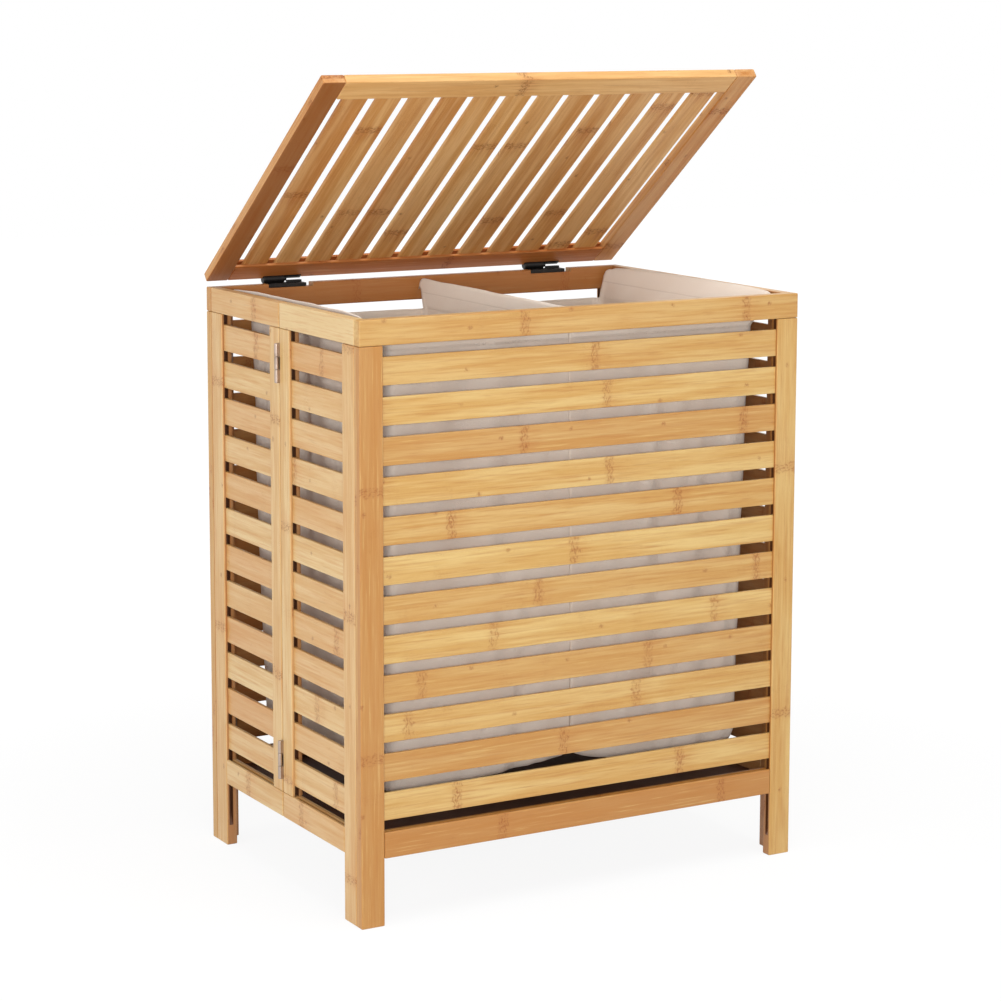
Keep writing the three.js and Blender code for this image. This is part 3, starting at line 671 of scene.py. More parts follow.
def lid_leaf_pattern():
    """The angle in the hinge rail's notch, with its ear on the axis and the pin that turns in the barrel."""
    length = LID_HINGE_LENGTH - BARREL_LENGTH - PLAY
    front = -LID_NOTCH_DEPTH + PLAY
    upright = rounded_block(
        "upright", (0, front, 0), (length, LID_LEAF_THICKNESS, LID_UNDERSIDE + LID_STOCK - BOARD_EDGE))
    shelf = rounded_block("shelf", (0, front, 0), (length, LID_LEAF_HEEL - front, LID_LEAF_THICKNESS))
    ear = rod("ear", (0, 0, 0), "X", LID_EAR_RADIUS, LID_EAR_LENGTH, sides=32)
    round_edges(ear, PLAY, segments=2, where=lambda a, b: abs(a.x - b.x) < PLAY)
    pin = rod("pin", (-LID_PIN_BITE, 0, 0), "X", LID_PIN_RADIUS, LID_PIN_BITE + LID_EAR_LENGTH, sides=24)
    shells = [upright, shelf, smooth(ear), smooth(pin)]
    for share in LID_LEAF_SCREWS:
        centre = (length * share, front + LID_LEAF_THICKNESS, LID_UNDERSIDE + LID_LEAF_SCREW_HEIGHT)
        shells.append(screw_head(centre, "Y", 1))
    return gather("lid leaf", shells)


def build_lid_hinges(finish):
    base, leaf = lid_base_pattern(), lid_leaf_pattern()
    for side, start in LID_HINGES.items():
        base_place = Matrix.Translation(LID_AXIS + Vector((start, 0, 0)))
        leaf_place = LID_PLACE @ Matrix.Translation((start + BARREL_LENGTH + PLAY, 0, 0))
        fit(copy_of(base, f"lid_{side}_hinge_base_metal", base_place),
            "back_frame", "black_steel", finish, f"lid_{side}_hinge_base")
        fit(copy_of(leaf, f"lid_{side}_hinge_leaf_metal", leaf_place),
            "lid", "black_steel", finish, f"lid_{side}_hinge_leaf")
    discard(base, leaf)


# Bags, each drawn with its divider wall at x = 0 and its outer wall towards +X

# The shares say how far a wall has drawn in from the bin's opening at the heights of HEIGHT_SHARES, which go
# from 0, the floor, to 1, the rim.
HEIGHT_SHARES = (0, 0.02, 0.3, 0.62, 0.935, 1)
OUTER_SHARES = (0.16, 0.145, 0.132, 0.11, 0.098, 0)
FRONT_SHARES = (0.04, 0.028, 0.02, 0.018, 0.014, 0)
BACK_SHARES = (0.045, 0.03, 0.012, 0.004, 0.002, 0)
DIVIDER_SHARES = (0.03, 0.006, 0.002, 0.001, 0, 0)
SHOULDER_SHARE = (BAG_SHOULDER - BAG_FLOOR) / (BAG_TOP - BAG_FLOOR)
STRAIGHT_STEPS = {"back": 40, "side": 56, "front": 40}
CORNER_STEPS = 8
WALL_RINGS = 72
FLOOR_RINGS = 12
RIM_RINGS = 12

FOLD_DEPTH = 0.0085
FOLD_SWELL = 1.6
FOLD_TURN = 3.1
FOLD_PITCH = 2.1
FOLD_SLANT = 0.9
FOLD_AT_RIM = 0.1
RIM_STEADIES = 4
CRUMPLE_DEPTH = 0.0012
CRUMPLE_FADE = 1.0
CRUMPLE_FINENESS = 2.0
CRUMPLE_LAYERS = 3
WALL_CRUMPLES = (9, 15)
FLOOR_CRUMPLE_DEPTH = CRUMPLE_DEPTH * 1.5
FLOOR_CRUMPLES = 14
RIM_CRUMPLES = 22
EDGE_FADE = 6

FLOOR_SAG = 0.004
FLOOR_MIDDLE = (0.47, 0.5)
FOOT_LIFT = 0.007
DIVIDER_LIFT = 0.013
DIVIDER_LEAN = 0.008
DIVIDER_DRAW = 0.012
FRONT_LEAN = 0.007
FOOT_LEAN = 0.014
LEAN_AT_FOOT = 0.35
RIM_PROUD = 0.0045
RIM_ROUND = 0.3
RIM_CORNER = 0.014
RIM_BACK_SPACE = 0.002
WING_START = 0.7
WING_FOOT = 0.8
WING_RISE = 0.12
WING_SHARE = 0.058
WING_DRAW = 0.3

# The seed of each bag's folds, how narrowly its divider's foot is drawn up, and 1 where its back outer
# corner hangs like a wing
BAG_WAYS = {"left": (3.7, 3, 0), "right": (8.2, 9, 1)}


def clamp(value):
    return min(1, max(0, value))


def eased_share(shares, height):
    """How far a wall has drawn in at a height from 0, the floor, to 1, the rim."""
    for i in range(1, len(HEIGHT_SHARES)):
        if height <= HEIGHT_SHARES[i]:
            t = (height - HEIGHT_SHARES[i - 1]) / (HEIGHT_SHARES[i] - HEIGHT_SHARES[i - 1])
            return shares[i - 1] + (shares[i] - shares[i - 1]) * t
    return shares[-1]


def tub_outline():
    """Points round the tub's mouth from the middle of the back wall, past the divider, the front and the
    outer wall, each with the wall or corner that it belongs to and how far along that it is."""
    w, d, r, inner = BAG_WIDTH, BAG_DEPTH, BAG_CORNER, BAG_INNER_CORNER
    points = []

    def straight(kind, start, end, steps):
        for i in range(steps):
            t = i / steps
            points.append((Vector(start).lerp(Vector(end), t), kind, t))

    def corner(kind, centre, first, radius=r):
        for i in range(CORNER_STEPS):
            t = i / CORNER_STEPS
            angle = first + math.pi / 2 * t
            points.append((Vector(centre) + radius * Vector((math.cos(angle), math.sin(angle))), kind, t))

    straight("back", (w / 2, d), (r, d), STRAIGHT_STEPS["back"] // 2)
    corner("divider corner", (r, d - r), math.pi / 2)
    straight("divider", (0, d - r), (0, inner), STRAIGHT_STEPS["side"])
    corner("front corner", (inner, inner), math.pi, inner)
    straight("front", (inner, 0), (w - r, 0), STRAIGHT_STEPS["front"])
    corner("front corner", (w - r, r), 1.5 * math.pi)
    straight("outer", (w, r), (w, d - r), STRAIGHT_STEPS["side"])
    corner("outer corner", (w - r, d - r), 0)
    straight("back", (w - r, d), (w / 2, d), STRAIGHT_STEPS["back"] // 2)
    return points


def tub_point(place, height, seed, narrow, wing):
    """Where a point of the outline lies at a height from 0 to 1, folds and crumples included. The foot of
    the divider wall is drawn up, the more narrowly the larger narrow is. With wing at 1 the outer wall's back
    end hangs nearly upright below the rim."""
    sx, sy = place.x / BAG_WIDTH, place.y / BAG_DEPTH
    left = BAG_WIDTH * eased_share(DIVIDER_SHARES, height)
    outer = eased_share(OUTER_SHARES, height)
    upright = wing * clamp((sy - WING_START) / (1 - WING_START)) ** 2
    upright *= clamp((height - WING_FOOT) / WING_RISE)
    outer += (WING_SHARE - WING_DRAW * (height - SHOULDER_SHARE) - outer) * upright
    right = BAG_WIDTH * (1 - outer)
    near = BAG_DEPTH * eased_share(FRONT_SHARES, height)
    far = BAG_DEPTH * (1 - eased_share(BACK_SHARES, height))
    far -= DIVIDER_DRAW * max(0, 1 - sx * EDGE_FADE) ** 2 * min(1, (1 - height) / (1 - SHOULDER_SHARE))
    point = Vector((left + (right - left) * sx, near + (far - near) * sy, 0))
    lift = FOOT_LIFT + DIVIDER_LIFT * max(0, 1 - sx) ** narrow
    point.z = BAG_FLOOR + lift * (1 - height) ** 4 + (BAG_TOP - BAG_FLOOR) * height

    inward = Vector((0.5 - sx, 0.5 - sy, 0)).normalized() * min(1, sx * EDGE_FADE)
    around = Vector((sx * FOLD_TURN, sy * FOLD_TURN, seed))
    hang = FOLD_AT_RIM + (1 - FOLD_AT_RIM) * min(1, (1 - height) * RIM_STEADIES)
    fold = noise.noise(around * FOLD_PITCH + Vector((0, 0, height * FOLD_SLANT))) * FOLD_DEPTH * hang
    across, up = WALL_CRUMPLES
    spot = Vector((sx * across, sy * across, height * up + seed))
    crumple = noise.fractal(spot, CRUMPLE_FADE, CRUMPLE_FINENESS, CRUMPLE_LAYERS) * CRUMPLE_DEPTH
    return point + inward * (abs(fold) * FOLD_SWELL + crumple * (1 - height / 2) + CRUMPLE_DEPTH)


def lean(point, sign):
    """Both bags' divider walls lean to the left, more at the front than at the back."""
    sx, sy = clamp(point.x / BAG_WIDTH), point.y / BAG_DEPTH
    height = (point.z - BAG_FLOOR) / (BAG_TOP - BAG_FLOOR)
    upward = LEAN_AT_FOOT + (1 - LEAN_AT_FOOT) * max(0, height)
    lateral = (DIVIDER_LEAN + FRONT_LEAN * (1 - sy)) * upward * (1 - sx)
    if sign < 0:
        lateral += FOOT_LEAN * sx * (1 - sy) * (1 - height)
    return Vector((point.x - sign * lateral, point.y, point.z))


def floor_rings(foot, seed):
    """The bag's floor, ring by ring from its sagging middle to the foot of the walls."""
    middle = Vector((BAG_WIDTH * FLOOR_MIDDLE[0], BAG_DEPTH * FLOOR_MIDDLE[1], BAG_FLOOR - FLOOR_SAG))
    points = [middle]
    for ring in range(1, FLOOR_RINGS):
        share = ring / FLOOR_RINGS
        for end in foot:
            point = middle.lerp(end, share)
            bulge = 1 - share ** 2
            point.z = end.z * (1 - bulge) + middle.z * bulge
            spot = Vector((point.x * FLOOR_CRUMPLES, point.y * FLOOR_CRUMPLES, seed))
            point.z += noise.noise(spot) * FLOOR_CRUMPLE_DEPTH
            points.append(point)
    return points


def rim_point(place, kind, t, share, ways):
    """A point between the shoulder and the rim, where the two back corners open out into flaps."""
    depth_end = INSIDE_DEPTH - 2 * PLAY - RIM_BACK_SPACE
    height = SHOULDER_SHARE + (1 - SHOULDER_SHARE) * share
    point = tub_point(place, height, *ways)
    if kind in ("divider corner", "outer corner"):
        unrolled = 2 * t if kind == "outer corner" else 2 * (1 - t)
        x = BAG_WIDTH if kind == "outer corner" else 0
        y = BAG_DEPTH - BAG_CORNER + unrolled * (depth_end - BAG_DEPTH + BAG_CORNER)
        opened = share * share * (3 - 2 * share)
        point = point.lerp(tub_point(Vector((x, y)), height, *ways), opened)
    point.x = min(max(point.x, CRUMPLE_DEPTH), BAG_WIDTH - CRUMPLE_DEPTH)
    point.y = max(point.y, CRUMPLE_DEPTH)
    back_share = max(0, (point.y - (depth_end - RIM_CORNER)) / RIM_CORNER)
    point.z -= RIM_CORNER * (1 - math.sqrt(max(0, 1 - back_share ** 2))) * share
    seed = ways[0]
    ripple = noise.noise(Vector((point.x * RIM_CRUMPLES, point.y * RIM_CRUMPLES, seed + share)))
    point.z += ripple * CRUMPLE_DEPTH * share
    if kind == "outer":
        point.z += RIM_PROUD * share * math.sin(math.pi * t) ** RIM_ROUND
    return point


def bag_mesh(name, ways, sign):
    """A bag's sheet: a closed floor and wall up to the shoulder, and above it a rim open at the back."""
    outline = tub_outline()
    count = len(outline)
    around = [0.0]
    for i in range(1, count + 1):
        around.append(around[-1] + (outline[i % count][0] - outline[i - 1][0]).length)

    points = floor_rings([tub_point(place, 0, *ways) for place, _, _ in outline], ways[0])
    for ring in range(WALL_RINGS + 1):
        height = SHOULDER_SHARE * ring / WALL_RINGS
        points += [tub_point(place, height, *ways) for place, _, _ in outline]

    first = 1
    faces = [(0, first + i, first + (i + 1) % count) for i in range(count)]
    closed_rings = FLOOR_RINGS - 1 + WALL_RINGS + 1
    for ring in range(closed_rings - 1):
        low, high = first + ring * count, first + (ring + 1) * count
        faces += [
            (low + i, high + i, high + (i + 1) % count, low + (i + 1) % count) for i in range(count)]

    half = CORNER_STEPS // 2
    start = STRAIGHT_STEPS["back"] // 2 + half
    end = count - STRAIGHT_STEPS["back"] // 2 - half
    below = [first + (closed_rings - 1) * count + i for i in range(start, end + 1)]
    for ring in range(1, RIM_RINGS + 1):
        above = range(len(points), len(points) + len(below))
        points += [rim_point(*outline[i % count], ring / RIM_RINGS, ways) for i in range(start, end + 1)]
        faces += [(below[i], above[i], above[i + 1], below[i + 1]) for i in range(len(above) - 1)]
        below = above

    mesh = bpy.data.meshes.new(name)
    mesh.from_pydata([lean(point, sign) for point in points], [], faces)
    cloth = mesh.uv_layers.new(name="cloth")
    for loop in mesh.loops:
        point = mesh.vertices[loop.vertex_index].co
        index = loop.vertex_index - first
        along = around[index % count] if 0 <= index < closed_rings * count else point.x + point.y
        cloth.data[loop.index].uv = (along, point.z)
    return mesh


def thicken(cloth):
    """Gives a sheet its thickness, behind the face that was drawn."""
    wall = cloth.modifiers.new("cloth", "SOLIDIFY")
    wall.thickness = CLOTH
    wall.offset = -1
    bpy.ops.object.modifier_apply(modifier=wall.name)


def build_bags(finish):
    for side, sign in (("left", -1), ("right", 1)):
        mesh = bag_mesh(f"bag_{side}_cloth", BAG_WAYS[side], sign)
        bag = bpy.data.objects.new(mesh.name, mesh)
        bpy.context.scene.collection.objects.link(bag)
        corner = Matrix.Translation((sign * BAG_DIVIDER_GAP / 2, FRONT_FACE + STOCK + PLAY, 0))
        mesh.transform(corner @ Matrix.Diagonal((sign, 1, 1, 1)))
        pick(bag)
        bpy.ops.object.mode_set(mode="EDIT")
        bpy.ops.mesh.select_all(action="SELECT")
        bpy.ops.mesh.normals_make_consistent(inside=False)
        bpy.ops.object.mode_set(mode="OBJECT")
        bpy.ops.object.shade_smooth()
        thicken(bag)
        fit(bag, "back_frame", "bag_cloth", finish, f"bag_{side}")
        fold_away(bag)


# Floor cloth

BASE_SAG = 0.004
BASE_EDGE = 1 / 3
BASE_RIPPLE = 0.0016
BASE_RIPPLES = 9
BASE_SEED = 1.3


def fold_away(cloth):
    """Gives the cloth a mesh of its own."""
    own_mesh(cloth)


def build_base_cloth(finish):
    low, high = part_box("base_cloth")
    size = high - low
    clear_selection()
    bpy.ops.mesh.primitive_grid_add(x_subdivisions=54, y_subdivisions=36, size=1, location=(low + high) / 2)
    bpy.context.object.scale = (size.x, size.y, 1)
    cloth = settle(bpy.context.object, "base_cloth_sheet")
    for point in cloth.data.vertices:
        inset_x = 1 - abs(2 * point.co.x / size.x)
        inset_y = 1 - abs(2 * (point.co.y - MIDDLE) / size.y)
        slack = min(1, inset_x / BASE_EDGE) * min(1, inset_y / BASE_EDGE)
        spot = Vector((point.co.x * BASE_RIPPLES, point.co.y * BASE_RIPPLES, BASE_SEED))
        point.co.z = low.z + CLOTH + (noise.noise(spot) * BASE_RIPPLE - BASE_SAG) * slack
    bpy.ops.object.shade_smooth()
    thicken(cloth)
    fit(cloth, "back_frame", "dark_cloth", finish, "base_cloth")
    fold_away(cloth)


# Finishes

def math_node(operation, reflected=False):
    """A method of Wire that adds one Math node. The reflected form puts its own wire last, as in 1 - mask."""
    def method(self, *others):
        values = (*others, self) if reflected else (self, *others)
        return self.wiring.node("ShaderNodeMath", {"operation": operation}, dict(enumerate(values)))
    return method


class Wire:
    """A number on a shader wire. Arithmetic on it adds Math nodes."""

    __add__ = math_node("ADD")
    __radd__ = math_node("ADD", reflected=True)
    __sub__ = math_node("SUBTRACT")
    __rsub__ = math_node("SUBTRACT", reflected=True)
    __mul__ = math_node("MULTIPLY")
    __rmul__ = math_node("MULTIPLY", reflected=True)
    __truediv__ = math_node("DIVIDE")
    __rtruediv__ = math_node("DIVIDE", reflected=True)
    __pow__ = math_node("POWER")
    __abs__ = math_node("ABSOLUTE")
    floor = math_node("FLOOR")
    fraction = math_node("FRACT")
    sine = math_node("SINE")
    at_least = math_node("MAXIMUM")
    at_most = math_node("MINIMUM")

    def __init__(self, wiring, socket):
        self.wiring = wiring
        self.socket = socket

    def __neg__(self):
        return self * -1

    def rise(self, start, end):
        """0 below start, 1 above end, smooth between; the other way round when start is past end."""
        return self.wiring.node(
            "ShaderNodeMapRange", {"interpolation_type": "SMOOTHSTEP"}, {"Value": self, 1: start, 2: end})


class Wiring:
    """A node tree under construction."""

    def __init__(self, tree):
        self.tree = tree

    def node(self, kind, settings=None, sockets=None, out=0):
        """Adds a node: its settings first, then the values or links of its sockets. Returns one output."""
        node = self.tree.nodes.new(kind)
        for setting, value in (settings or {}).items():
            setattr(node, setting, value)
        for key, value in (sockets or {}).items():
            self.plug(value, node.inputs[key])
        return Wire(self, node.outputs[out]) if node.outputs else None

    def plug(self, value, socket):
        if isinstance(value, Wire):
            self.tree.links.new(value.socket, socket)
        else:
            socket.default_value = value

    def seen(self):
        """1 for what the camera sees, straight, mirrored or through glass; 0 for what only lights."""
        kinds = ("Camera", "Glossy", "Transmission")
        straight, mirrored, through = [
            self.node("ShaderNodeLightPath", out=f"Is {kind} Ray") for kind in kinds]
        return straight.at_least(mirrored).at_least(through)


# Where the Mix node keeps its colours, because their names stand for its other kinds too
MIX_MASK = 0
MIX_FIRST = 6
MIX_SECOND = 7
MIX_RESULT = 2


class Finish(Wiring):
    """A material round one Principled surface."""

    def __init__(self, name, **surface):
        self.material = bpy.data.materials.new(name)
        self.material.use_nodes = True
        super().__init__(self.material.node_tree)
        self.surface = self.tree.nodes["Principled BSDF"]
        for socket, value in surface.items():
            self.feed(socket.replace("_", " "), value)

    def feed(self, socket, value):
        self.plug(value, self.surface.inputs[socket])

    def attribute(self, name, out):
        return self.node("ShaderNodeAttribute", {"attribute_name": name}, out=out)

    def place(self):
        """Where a point lies on its piece."""
        return self.node("ShaderNodeTexCoord", out="Object")

    def split(self, vector):
        return [self.node("ShaderNodeSeparateXYZ", sockets={0: vector}, out=axis) for axis in range(3)]

    def join(self, x, y, z=0.0):
        return self.node("ShaderNodeCombineXYZ", sockets={0: x, 1: y, 2: z})

    def noise(self, vector, scale=1.0, detail=2.0, roughness=0.5):
        return self.node(
            "ShaderNodeTexNoise", sockets={
                "Vector": vector, "Scale": scale, "Detail": detail, "Roughness": roughness})

    def chance(self, vector):
        """A random number from 0 to 1 for each different vector."""
        return self.node("ShaderNodeTexWhiteNoise", {"noise_dimensions": "3D"}, {"Vector": vector})

    def tint(self, mask, first, second):
        """From the first colour to the second as the mask goes from 0 to 1."""
        sockets = {MIX_MASK: mask, MIX_FIRST: first, MIX_SECOND: second}
        return self.node("ShaderNodeMix", {"data_type": "RGBA"}, sockets, out=MIX_RESULT)

    def bump(self, height, distance):
        self.feed("Normal", self.node("ShaderNodeBump", sockets={"Height": height, "Distance": distance}))


def colour(hex_code):
    """A linear colour from the hex code that it shows as on a screen."""
    channels = [int(hex_code[i:i + 2], 16) / 255 for i in (0, 2, 4)]
    return (*[c / 12.92 if c <= 0.04045 else ((c + 0.055) / 1.055) ** 2.4 for c in channels], 1.0)


# Bamboo

# The first six give a mark's waves a metre along the fibres and across them. A zone goes from where a mark
# begins to where it is full, in metres from its middle.
FLAMES = (5, 80)
STREAKS = (13, 360)
DASHES = (26, 460)
FIBRES = (60, 1300)
WARP = (80, 210)
SQUIGGLES = (560, 230)
LAYER = 0.0056
LAYER_START = 0.0004
KNUCKLE_SPACING = 0.29
KNUCKLE_WARP = 0.012
KNUCKLE_ZONE = (0.0075, 0.0035)
HALO_SHIFT = 0.006
HALO_ZONE = (0.022, 0.002)
EYE_SPACING = 0.12
EYE_PITCH = 0.034
EYE_STRETCH = 0.6
EYE_WARP = 0.0016
EYE_ZONE = (0.0034, 0.001)
EYE_HEART = (0.0013, 0.0005)
DEEPEST_TONE = 0.84
MARK_STRENGTH = 0.62
# Colours of the painted shade on inner faces, reddened like bounce light, and of the painted shadow in
# grooves
PAINTED_SHADE_BROWN = colour("A45A26")
PAINTED_SHADOW_BROWN = colour("4A2210")


def bamboo(name, pale, body, deep, knuckle, contrast, varnish=1.0):
    """Pressed bamboo layers under satin varnish: flames, streaks, fibres, knuckle marks and small eyes. What
    tone and own are multiplied by only keeps the patterns of boards and layers apart."""
    pale, body, deep, knuckle = [colour(code) for code in (pale, body, deep, knuckle)]
    finish = Finish(
        name, Coat_Weight=0.18 * varnish, Coat_Roughness=0.28, Specular_IOR_Level=0.5 * varnish)
    tone = finish.attribute("tone", "Fac")
    inner = finish.attribute("inner", "Fac")
    along, through, across = finish.split(finish.attribute("grain", "Vector"))
    layer = ((through + LAYER_START) / LAYER + tone * 7).floor()
    own = finish.chance(finish.join(layer, tone * 91))
    other = finish.chance(finish.join(layer + 5.5, tone * 37))

    def drawn_out(waves, shift=None, detail=2.0, roughness=0.5):
        """Noise that the fibres draw out."""
        x = along * waves[0]
        if shift is not None:
            x = x + shift
        stretched = finish.join(x, across * waves[1], through * waves[1])
        return finish.noise(stretched, detail=detail, roughness=roughness)

    flames = drawn_out(FLAMES, own * 40, detail=3.0, roughness=0.6)
    streaks = drawn_out(STREAKS, own * 9, detail=3.0, roughness=0.6)
    fibres = drawn_out(FIBRES, roughness=0.6)
    dashes = drawn_out(DASHES, own * -17, detail=1.0)
    warp = drawn_out(WARP) - 0.5
    squiggles = drawn_out(SQUIGGLES, warp * 3)

    step = (along + warp * KNUCKLE_WARP) / KNUCKLE_SPACING + own * 3
    away = (step.fraction() - 0.5) * KNUCKLE_SPACING
    mark = abs(away).rise(*KNUCKLE_ZONE) * (squiggles.rise(0.47, 0.62) * 0.8 + 0.2)
    halo = abs(away - HALO_SHIFT).rise(*HALO_ZONE)

    cell = along / EYE_SPACING + own * 5
    spot = finish.chance(finish.join(cell.floor(), own * 13))
    sideways = (cell.fraction() - 0.2 - spot * 0.6) * EYE_SPACING
    upwards = ((across / EYE_PITCH + spot * 7 + other).fraction() - 0.5) * EYE_PITCH
    apart = (sideways * sideways * EYE_STRETCH + upwards * upwards) ** 0.5 + warp * EYE_WARP
    eye = (apart.rise(*EYE_ZONE) * squiggles.rise(0.36, 0.6)).at_least(apart.rise(*EYE_HEART))
    eye = eye * spot.rise(0.45, 0.5)

    base = finish.tint(flames.rise(0.36, 0.62), pale, body)
    base = finish.tint((tone * 0.75 + other * 0.3 - 0.15).at_least(0).at_most(DEEPEST_TONE), base, deep)
    base = finish.tint((-tone).at_least(0), base, pale)
    base = finish.tint(streaks.rise(0.48, 0.7) * contrast, base, deep)
    base = finish.tint(streaks.rise(0.45, 0.28) * contrast, base, pale)
    base = finish.tint(dashes.rise(0.62, 0.78) * contrast * 0.4, base, knuckle)
    base = finish.tint(fibres.rise(0.5, 0.85) * 0.25, base, deep)
    base = finish.tint(halo * (0.12 + streaks.rise(0.4, 0.7) * 0.3), base, deep)
    base = finish.tint(mark.at_least(eye) * MARK_STRENGTH, base, knuckle)
    # Painted shade on the faces that inner picks, and a painted shadow, nearly black, in the grooves
    base = finish.tint(inner.at_most(1) * 0.64, base, PAINTED_SHADE_BROWN)
    base = finish.tint((inner - 1).at_least(0), base, PAINTED_SHADOW_BROWN)
    finish.feed("Base Color", base)
    finish.feed("Roughness", 0.36 + fibres * 0.14 + mark * 0.1)
    finish.bump(fibres * 0.5 + mark * -0.6 + streaks * 0.4, distance=0.00012)
    return finish.material


def bright_steel():
    """Turned and pressed steel with faint stains."""
    finish = Finish("bright steel", Metallic=1.0)
    x, y, z = finish.split(finish.place())
    turned = finish.noise(finish.join(x * 300, y * 300, z * 2600))
    stain = finish.noise(finish.place(), scale=90.0, detail=3.0).rise(0.5, 0.8)
    finish.feed("Base Color", finish.tint(stain * 0.4, colour("B5A396"), colour("75655A")))
    finish.feed("Roughness", 0.3 + turned * 0.16 + stain * 0.14)
    finish.bump(turned, distance=0.00004)
    return finish.material


def black_steel():
    """Black coated steel, a little rubbed."""
    finish = Finish("black steel", Metallic=0.35)
    skin = finish.noise(finish.place(), scale=900.0)
    rub = finish.noise(finish.place(), scale=130.0, detail=3.0).rise(0.58, 0.75)
    finish.feed("Base Color", finish.tint(rub * 0.5, colour("1B1918"), colour("3A3532")))
    finish.feed("Roughness", 0.32 + skin * 0.2)
    finish.bump(skin, distance=0.00003)
    return finish.material


THREAD_PITCH = 0.0009
THREAD_DEPTH = 0.00018
SLUBS = (800, 22)
HEM_LINE = BAG_TOP - 0.016
HEM_THREAD = 0.0009
STITCH_PITCH = 0.0042


def bag_cloth():
    """Plain weave that follows the cloth's own map, with slubs, a soft uneven tone and a hem stitch."""
    finish = Finish("bag cloth", Roughness=0.95, Sheen_Weight=0.15, Sheen_Roughness=0.6)
    light, shade = colour("FAF0E4"), colour("EBD9C8")
    along, up, _ = finish.split(finish.node("ShaderNodeUVMap", {"uv_map": "cloth"}))
    fine, coarse = SLUBS
    weave = (along * (math.tau / THREAD_PITCH)).sine() * (up * (math.tau / THREAD_PITCH)).sine()
    slub_up = finish.noise(finish.join(along * fine, up * coarse)).rise(0.56, 0.8)
    slub_along = finish.noise(finish.join(along * coarse, up * fine)).rise(0.56, 0.8)
    drift = finish.noise(finish.join(along * 7, up * 7), detail=3.0)
    base = finish.tint(drift.rise(0.3, 0.75) * 0.5 + (1 - weave) * 0.12, light, shade)
    base = finish.tint((slub_up + slub_along) * 0.14, base, shade)
    seam = abs(up - HEM_LINE).rise(HEM_THREAD, HEM_THREAD / 4)
    stitch = seam * ((along * (math.tau / STITCH_PITCH)).sine().rise(-0.6, 0.2) * 0.7 + 0.3)
    finish.feed("Base Color", finish.tint(stitch * 0.28, base, colour("A8917E")))
    finish.bump(weave * 0.5 + slub_up * 0.5 + slub_along * 0.5 - stitch * 2, THREAD_DEPTH)
    return finish.material


def dark_fabric():
    """The floor cloth's brown fabric, flecked."""
    finish = Finish("dark cloth")
    flecks = finish.noise(finish.place(), scale=1400.0)
    drift = finish.noise(finish.place(), scale=12.0, detail=3.0)
    base = finish.tint(drift.rise(0.3, 0.7), colour("62402F"), colour("74503D"))
    finish.feed("Base Color", finish.tint(flecks.rise(0.55, 0.75) * 0.4, base, colour("86654F")))
    finish.feed("Roughness", 0.5 + flecks * 0.25)
    finish.bump(flecks, distance=0.00015)
    return finish.material


# Studio

WHITE = (1, 1, 1, 1)
FLOOR_SIZE = 16
FLOOR_GREY = (0.8, 0.8, 0.8, 1)
FLOOR_GLOW = 1.05
NEAR_GLOW = 0.86
SHADOW_REACH = (0.5, 1.5)
ROOM_LIGHT = 0.34
LAMP_TARGET = (0, 0, 0.35)

# Each lamp's place, the width and height of its face, and its watts
LAMPS = {
    "key": ((-1.8, -3.0, 1.02), 2.0, 0.6, 47),
    "fill": ((1.4, -3.2, 0.7), 2.0, 1.2, 4),
    "side": ((-3.2, -0.2, 1.3), 1.6, 0.9, 25),
    "top": ((0, -0.9, 2.8), 1.6, 1.6, 36)}

SENSOR = 36
LENS = 100.30
LENS_SHIFT = (0.00324, -0.1024)
CAMERA_PLACE = (-1.59387, -2.77503, 0.99764)
CAMERA_TURN = math.radians(-29.879)
CAMERA_TILT = math.radians(81.746)
CAMERA_ROLL = math.radians(0.129)


def floor_finish():
    """White to the camera, as in the photograph, with the hamper's shadow kept near it."""
    finish = Finish("floor", Roughness=0.9, Base_Color=FLOOR_GREY)
    x, y, _ = finish.split(finish.place())
    away = ((x * x + y * y) ** 0.5).rise(*SHADOW_REACH)
    glow = finish.node("ShaderNodeEmission", sockets={"Color": WHITE, "Strength": FLOOR_GLOW})
    mask = finish.seen() * (NEAR_GLOW + away * (1 - NEAR_GLOW))
    solid = Wire(finish, finish.surface.outputs[0])
    mixed = finish.node("ShaderNodeMixShader", sockets={0: mask, 1: solid, 2: glow})
    finish.plug(mixed, finish.tree.nodes["Material Output"].inputs["Surface"])
    return finish.material


def build_floor():
    clear_selection()
    bpy.ops.mesh.primitive_plane_add(size=FLOOR_SIZE, location=(0, 0, 0))
    floor = settle(bpy.context.object, "floor")
    floor.data.materials.append(floor_finish())


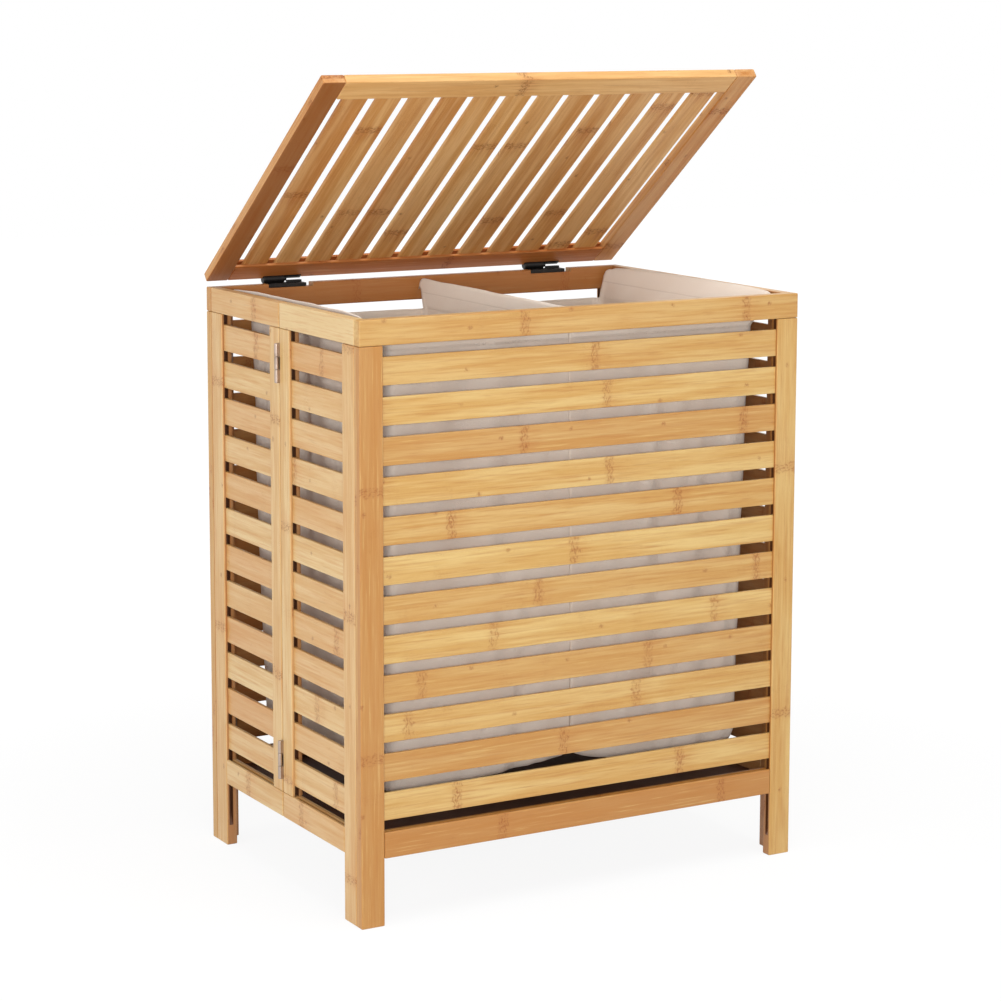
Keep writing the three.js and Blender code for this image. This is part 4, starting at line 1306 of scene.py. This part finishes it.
def build_world():
    """Plain white to the camera, and a weaker white for the light that falls on the hamper."""
    world = bpy.data.worlds.new("studio")
    bpy.context.scene.world = world
    world.use_nodes = True
    studio = Wiring(world.node_tree)
    studio.tree.nodes.clear()
    soft = studio.node("ShaderNodeBackground", sockets={"Color": WHITE, "Strength": ROOM_LIGHT})
    white = studio.node("ShaderNodeBackground", sockets={"Color": WHITE, "Strength": 1.0})
    mixed = studio.node("ShaderNodeMixShader", sockets={0: studio.seen(), 1: soft, 2: white})
    studio.node("ShaderNodeOutputWorld", sockets={"Surface": mixed})


def build_lamps():
    for name, (place, width, height, watts) in LAMPS.items():
        lamp = bpy.data.lights.new(name, "AREA")
        lamp.shape = "RECTANGLE"
        lamp.size = width
        lamp.size_y = height
        lamp.energy = watts
        holder = bpy.data.objects.new(name, lamp)
        holder.location = place
        holder.rotation_euler = (Vector(LAMP_TARGET) - Vector(place)).to_track_quat("-Z", "Y").to_euler()
        bpy.context.scene.collection.objects.link(holder)


def build_camera():
    """The photograph's viewing angle, worked out from the frame's corners."""
    lens = bpy.data.cameras.new("camera")
    lens.sensor_width = SENSOR
    lens.lens = LENS
    lens.shift_x, lens.shift_y = LENS_SHIFT
    camera = bpy.data.objects.new("camera", lens)
    turn = Matrix.Rotation(CAMERA_TURN, 4, "Z") @ Matrix.Rotation(CAMERA_TILT, 4, "X")
    camera.matrix_world = Matrix.Translation(CAMERA_PLACE) @ turn @ Matrix.Rotation(CAMERA_ROLL, 4, "Z")
    bpy.context.scene.collection.objects.link(camera)
    bpy.context.scene.camera = camera


build_camera()
build_floor()
build_world()
build_lamps()
bpy.context.scene.view_settings.view_transform = "Standard"

# One bamboo in three copies: the side copy is painted paler for the light that falls on the sides, and the
# lid copy is painted deeper and redder for the shade and bounce light under the lid; its thinner varnish is
# its own
front_bamboo = bamboo("bamboo", "E4C37E", "D4A65B", "BA7834", "9A4F16", contrast=0.46)
lit_side_bamboo = bamboo("side bamboo painted lit", "E7C890", "D9AE6E", "C98238", "9A541C", contrast=0.42)
lid_bamboo = bamboo("lid bamboo", "EFC182", "DBA05B", "AD5C24", "844218", contrast=0.26, varnish=0.4)
build_end_panels(front_bamboo)
build_half_panels(lit_side_bamboo)
build_lid(lid_bamboo)
build_leaves(bright_steel())
build_lid_hinges(black_steel())
build_bags(bag_cloth())
build_base_cloth(dark_fabric())
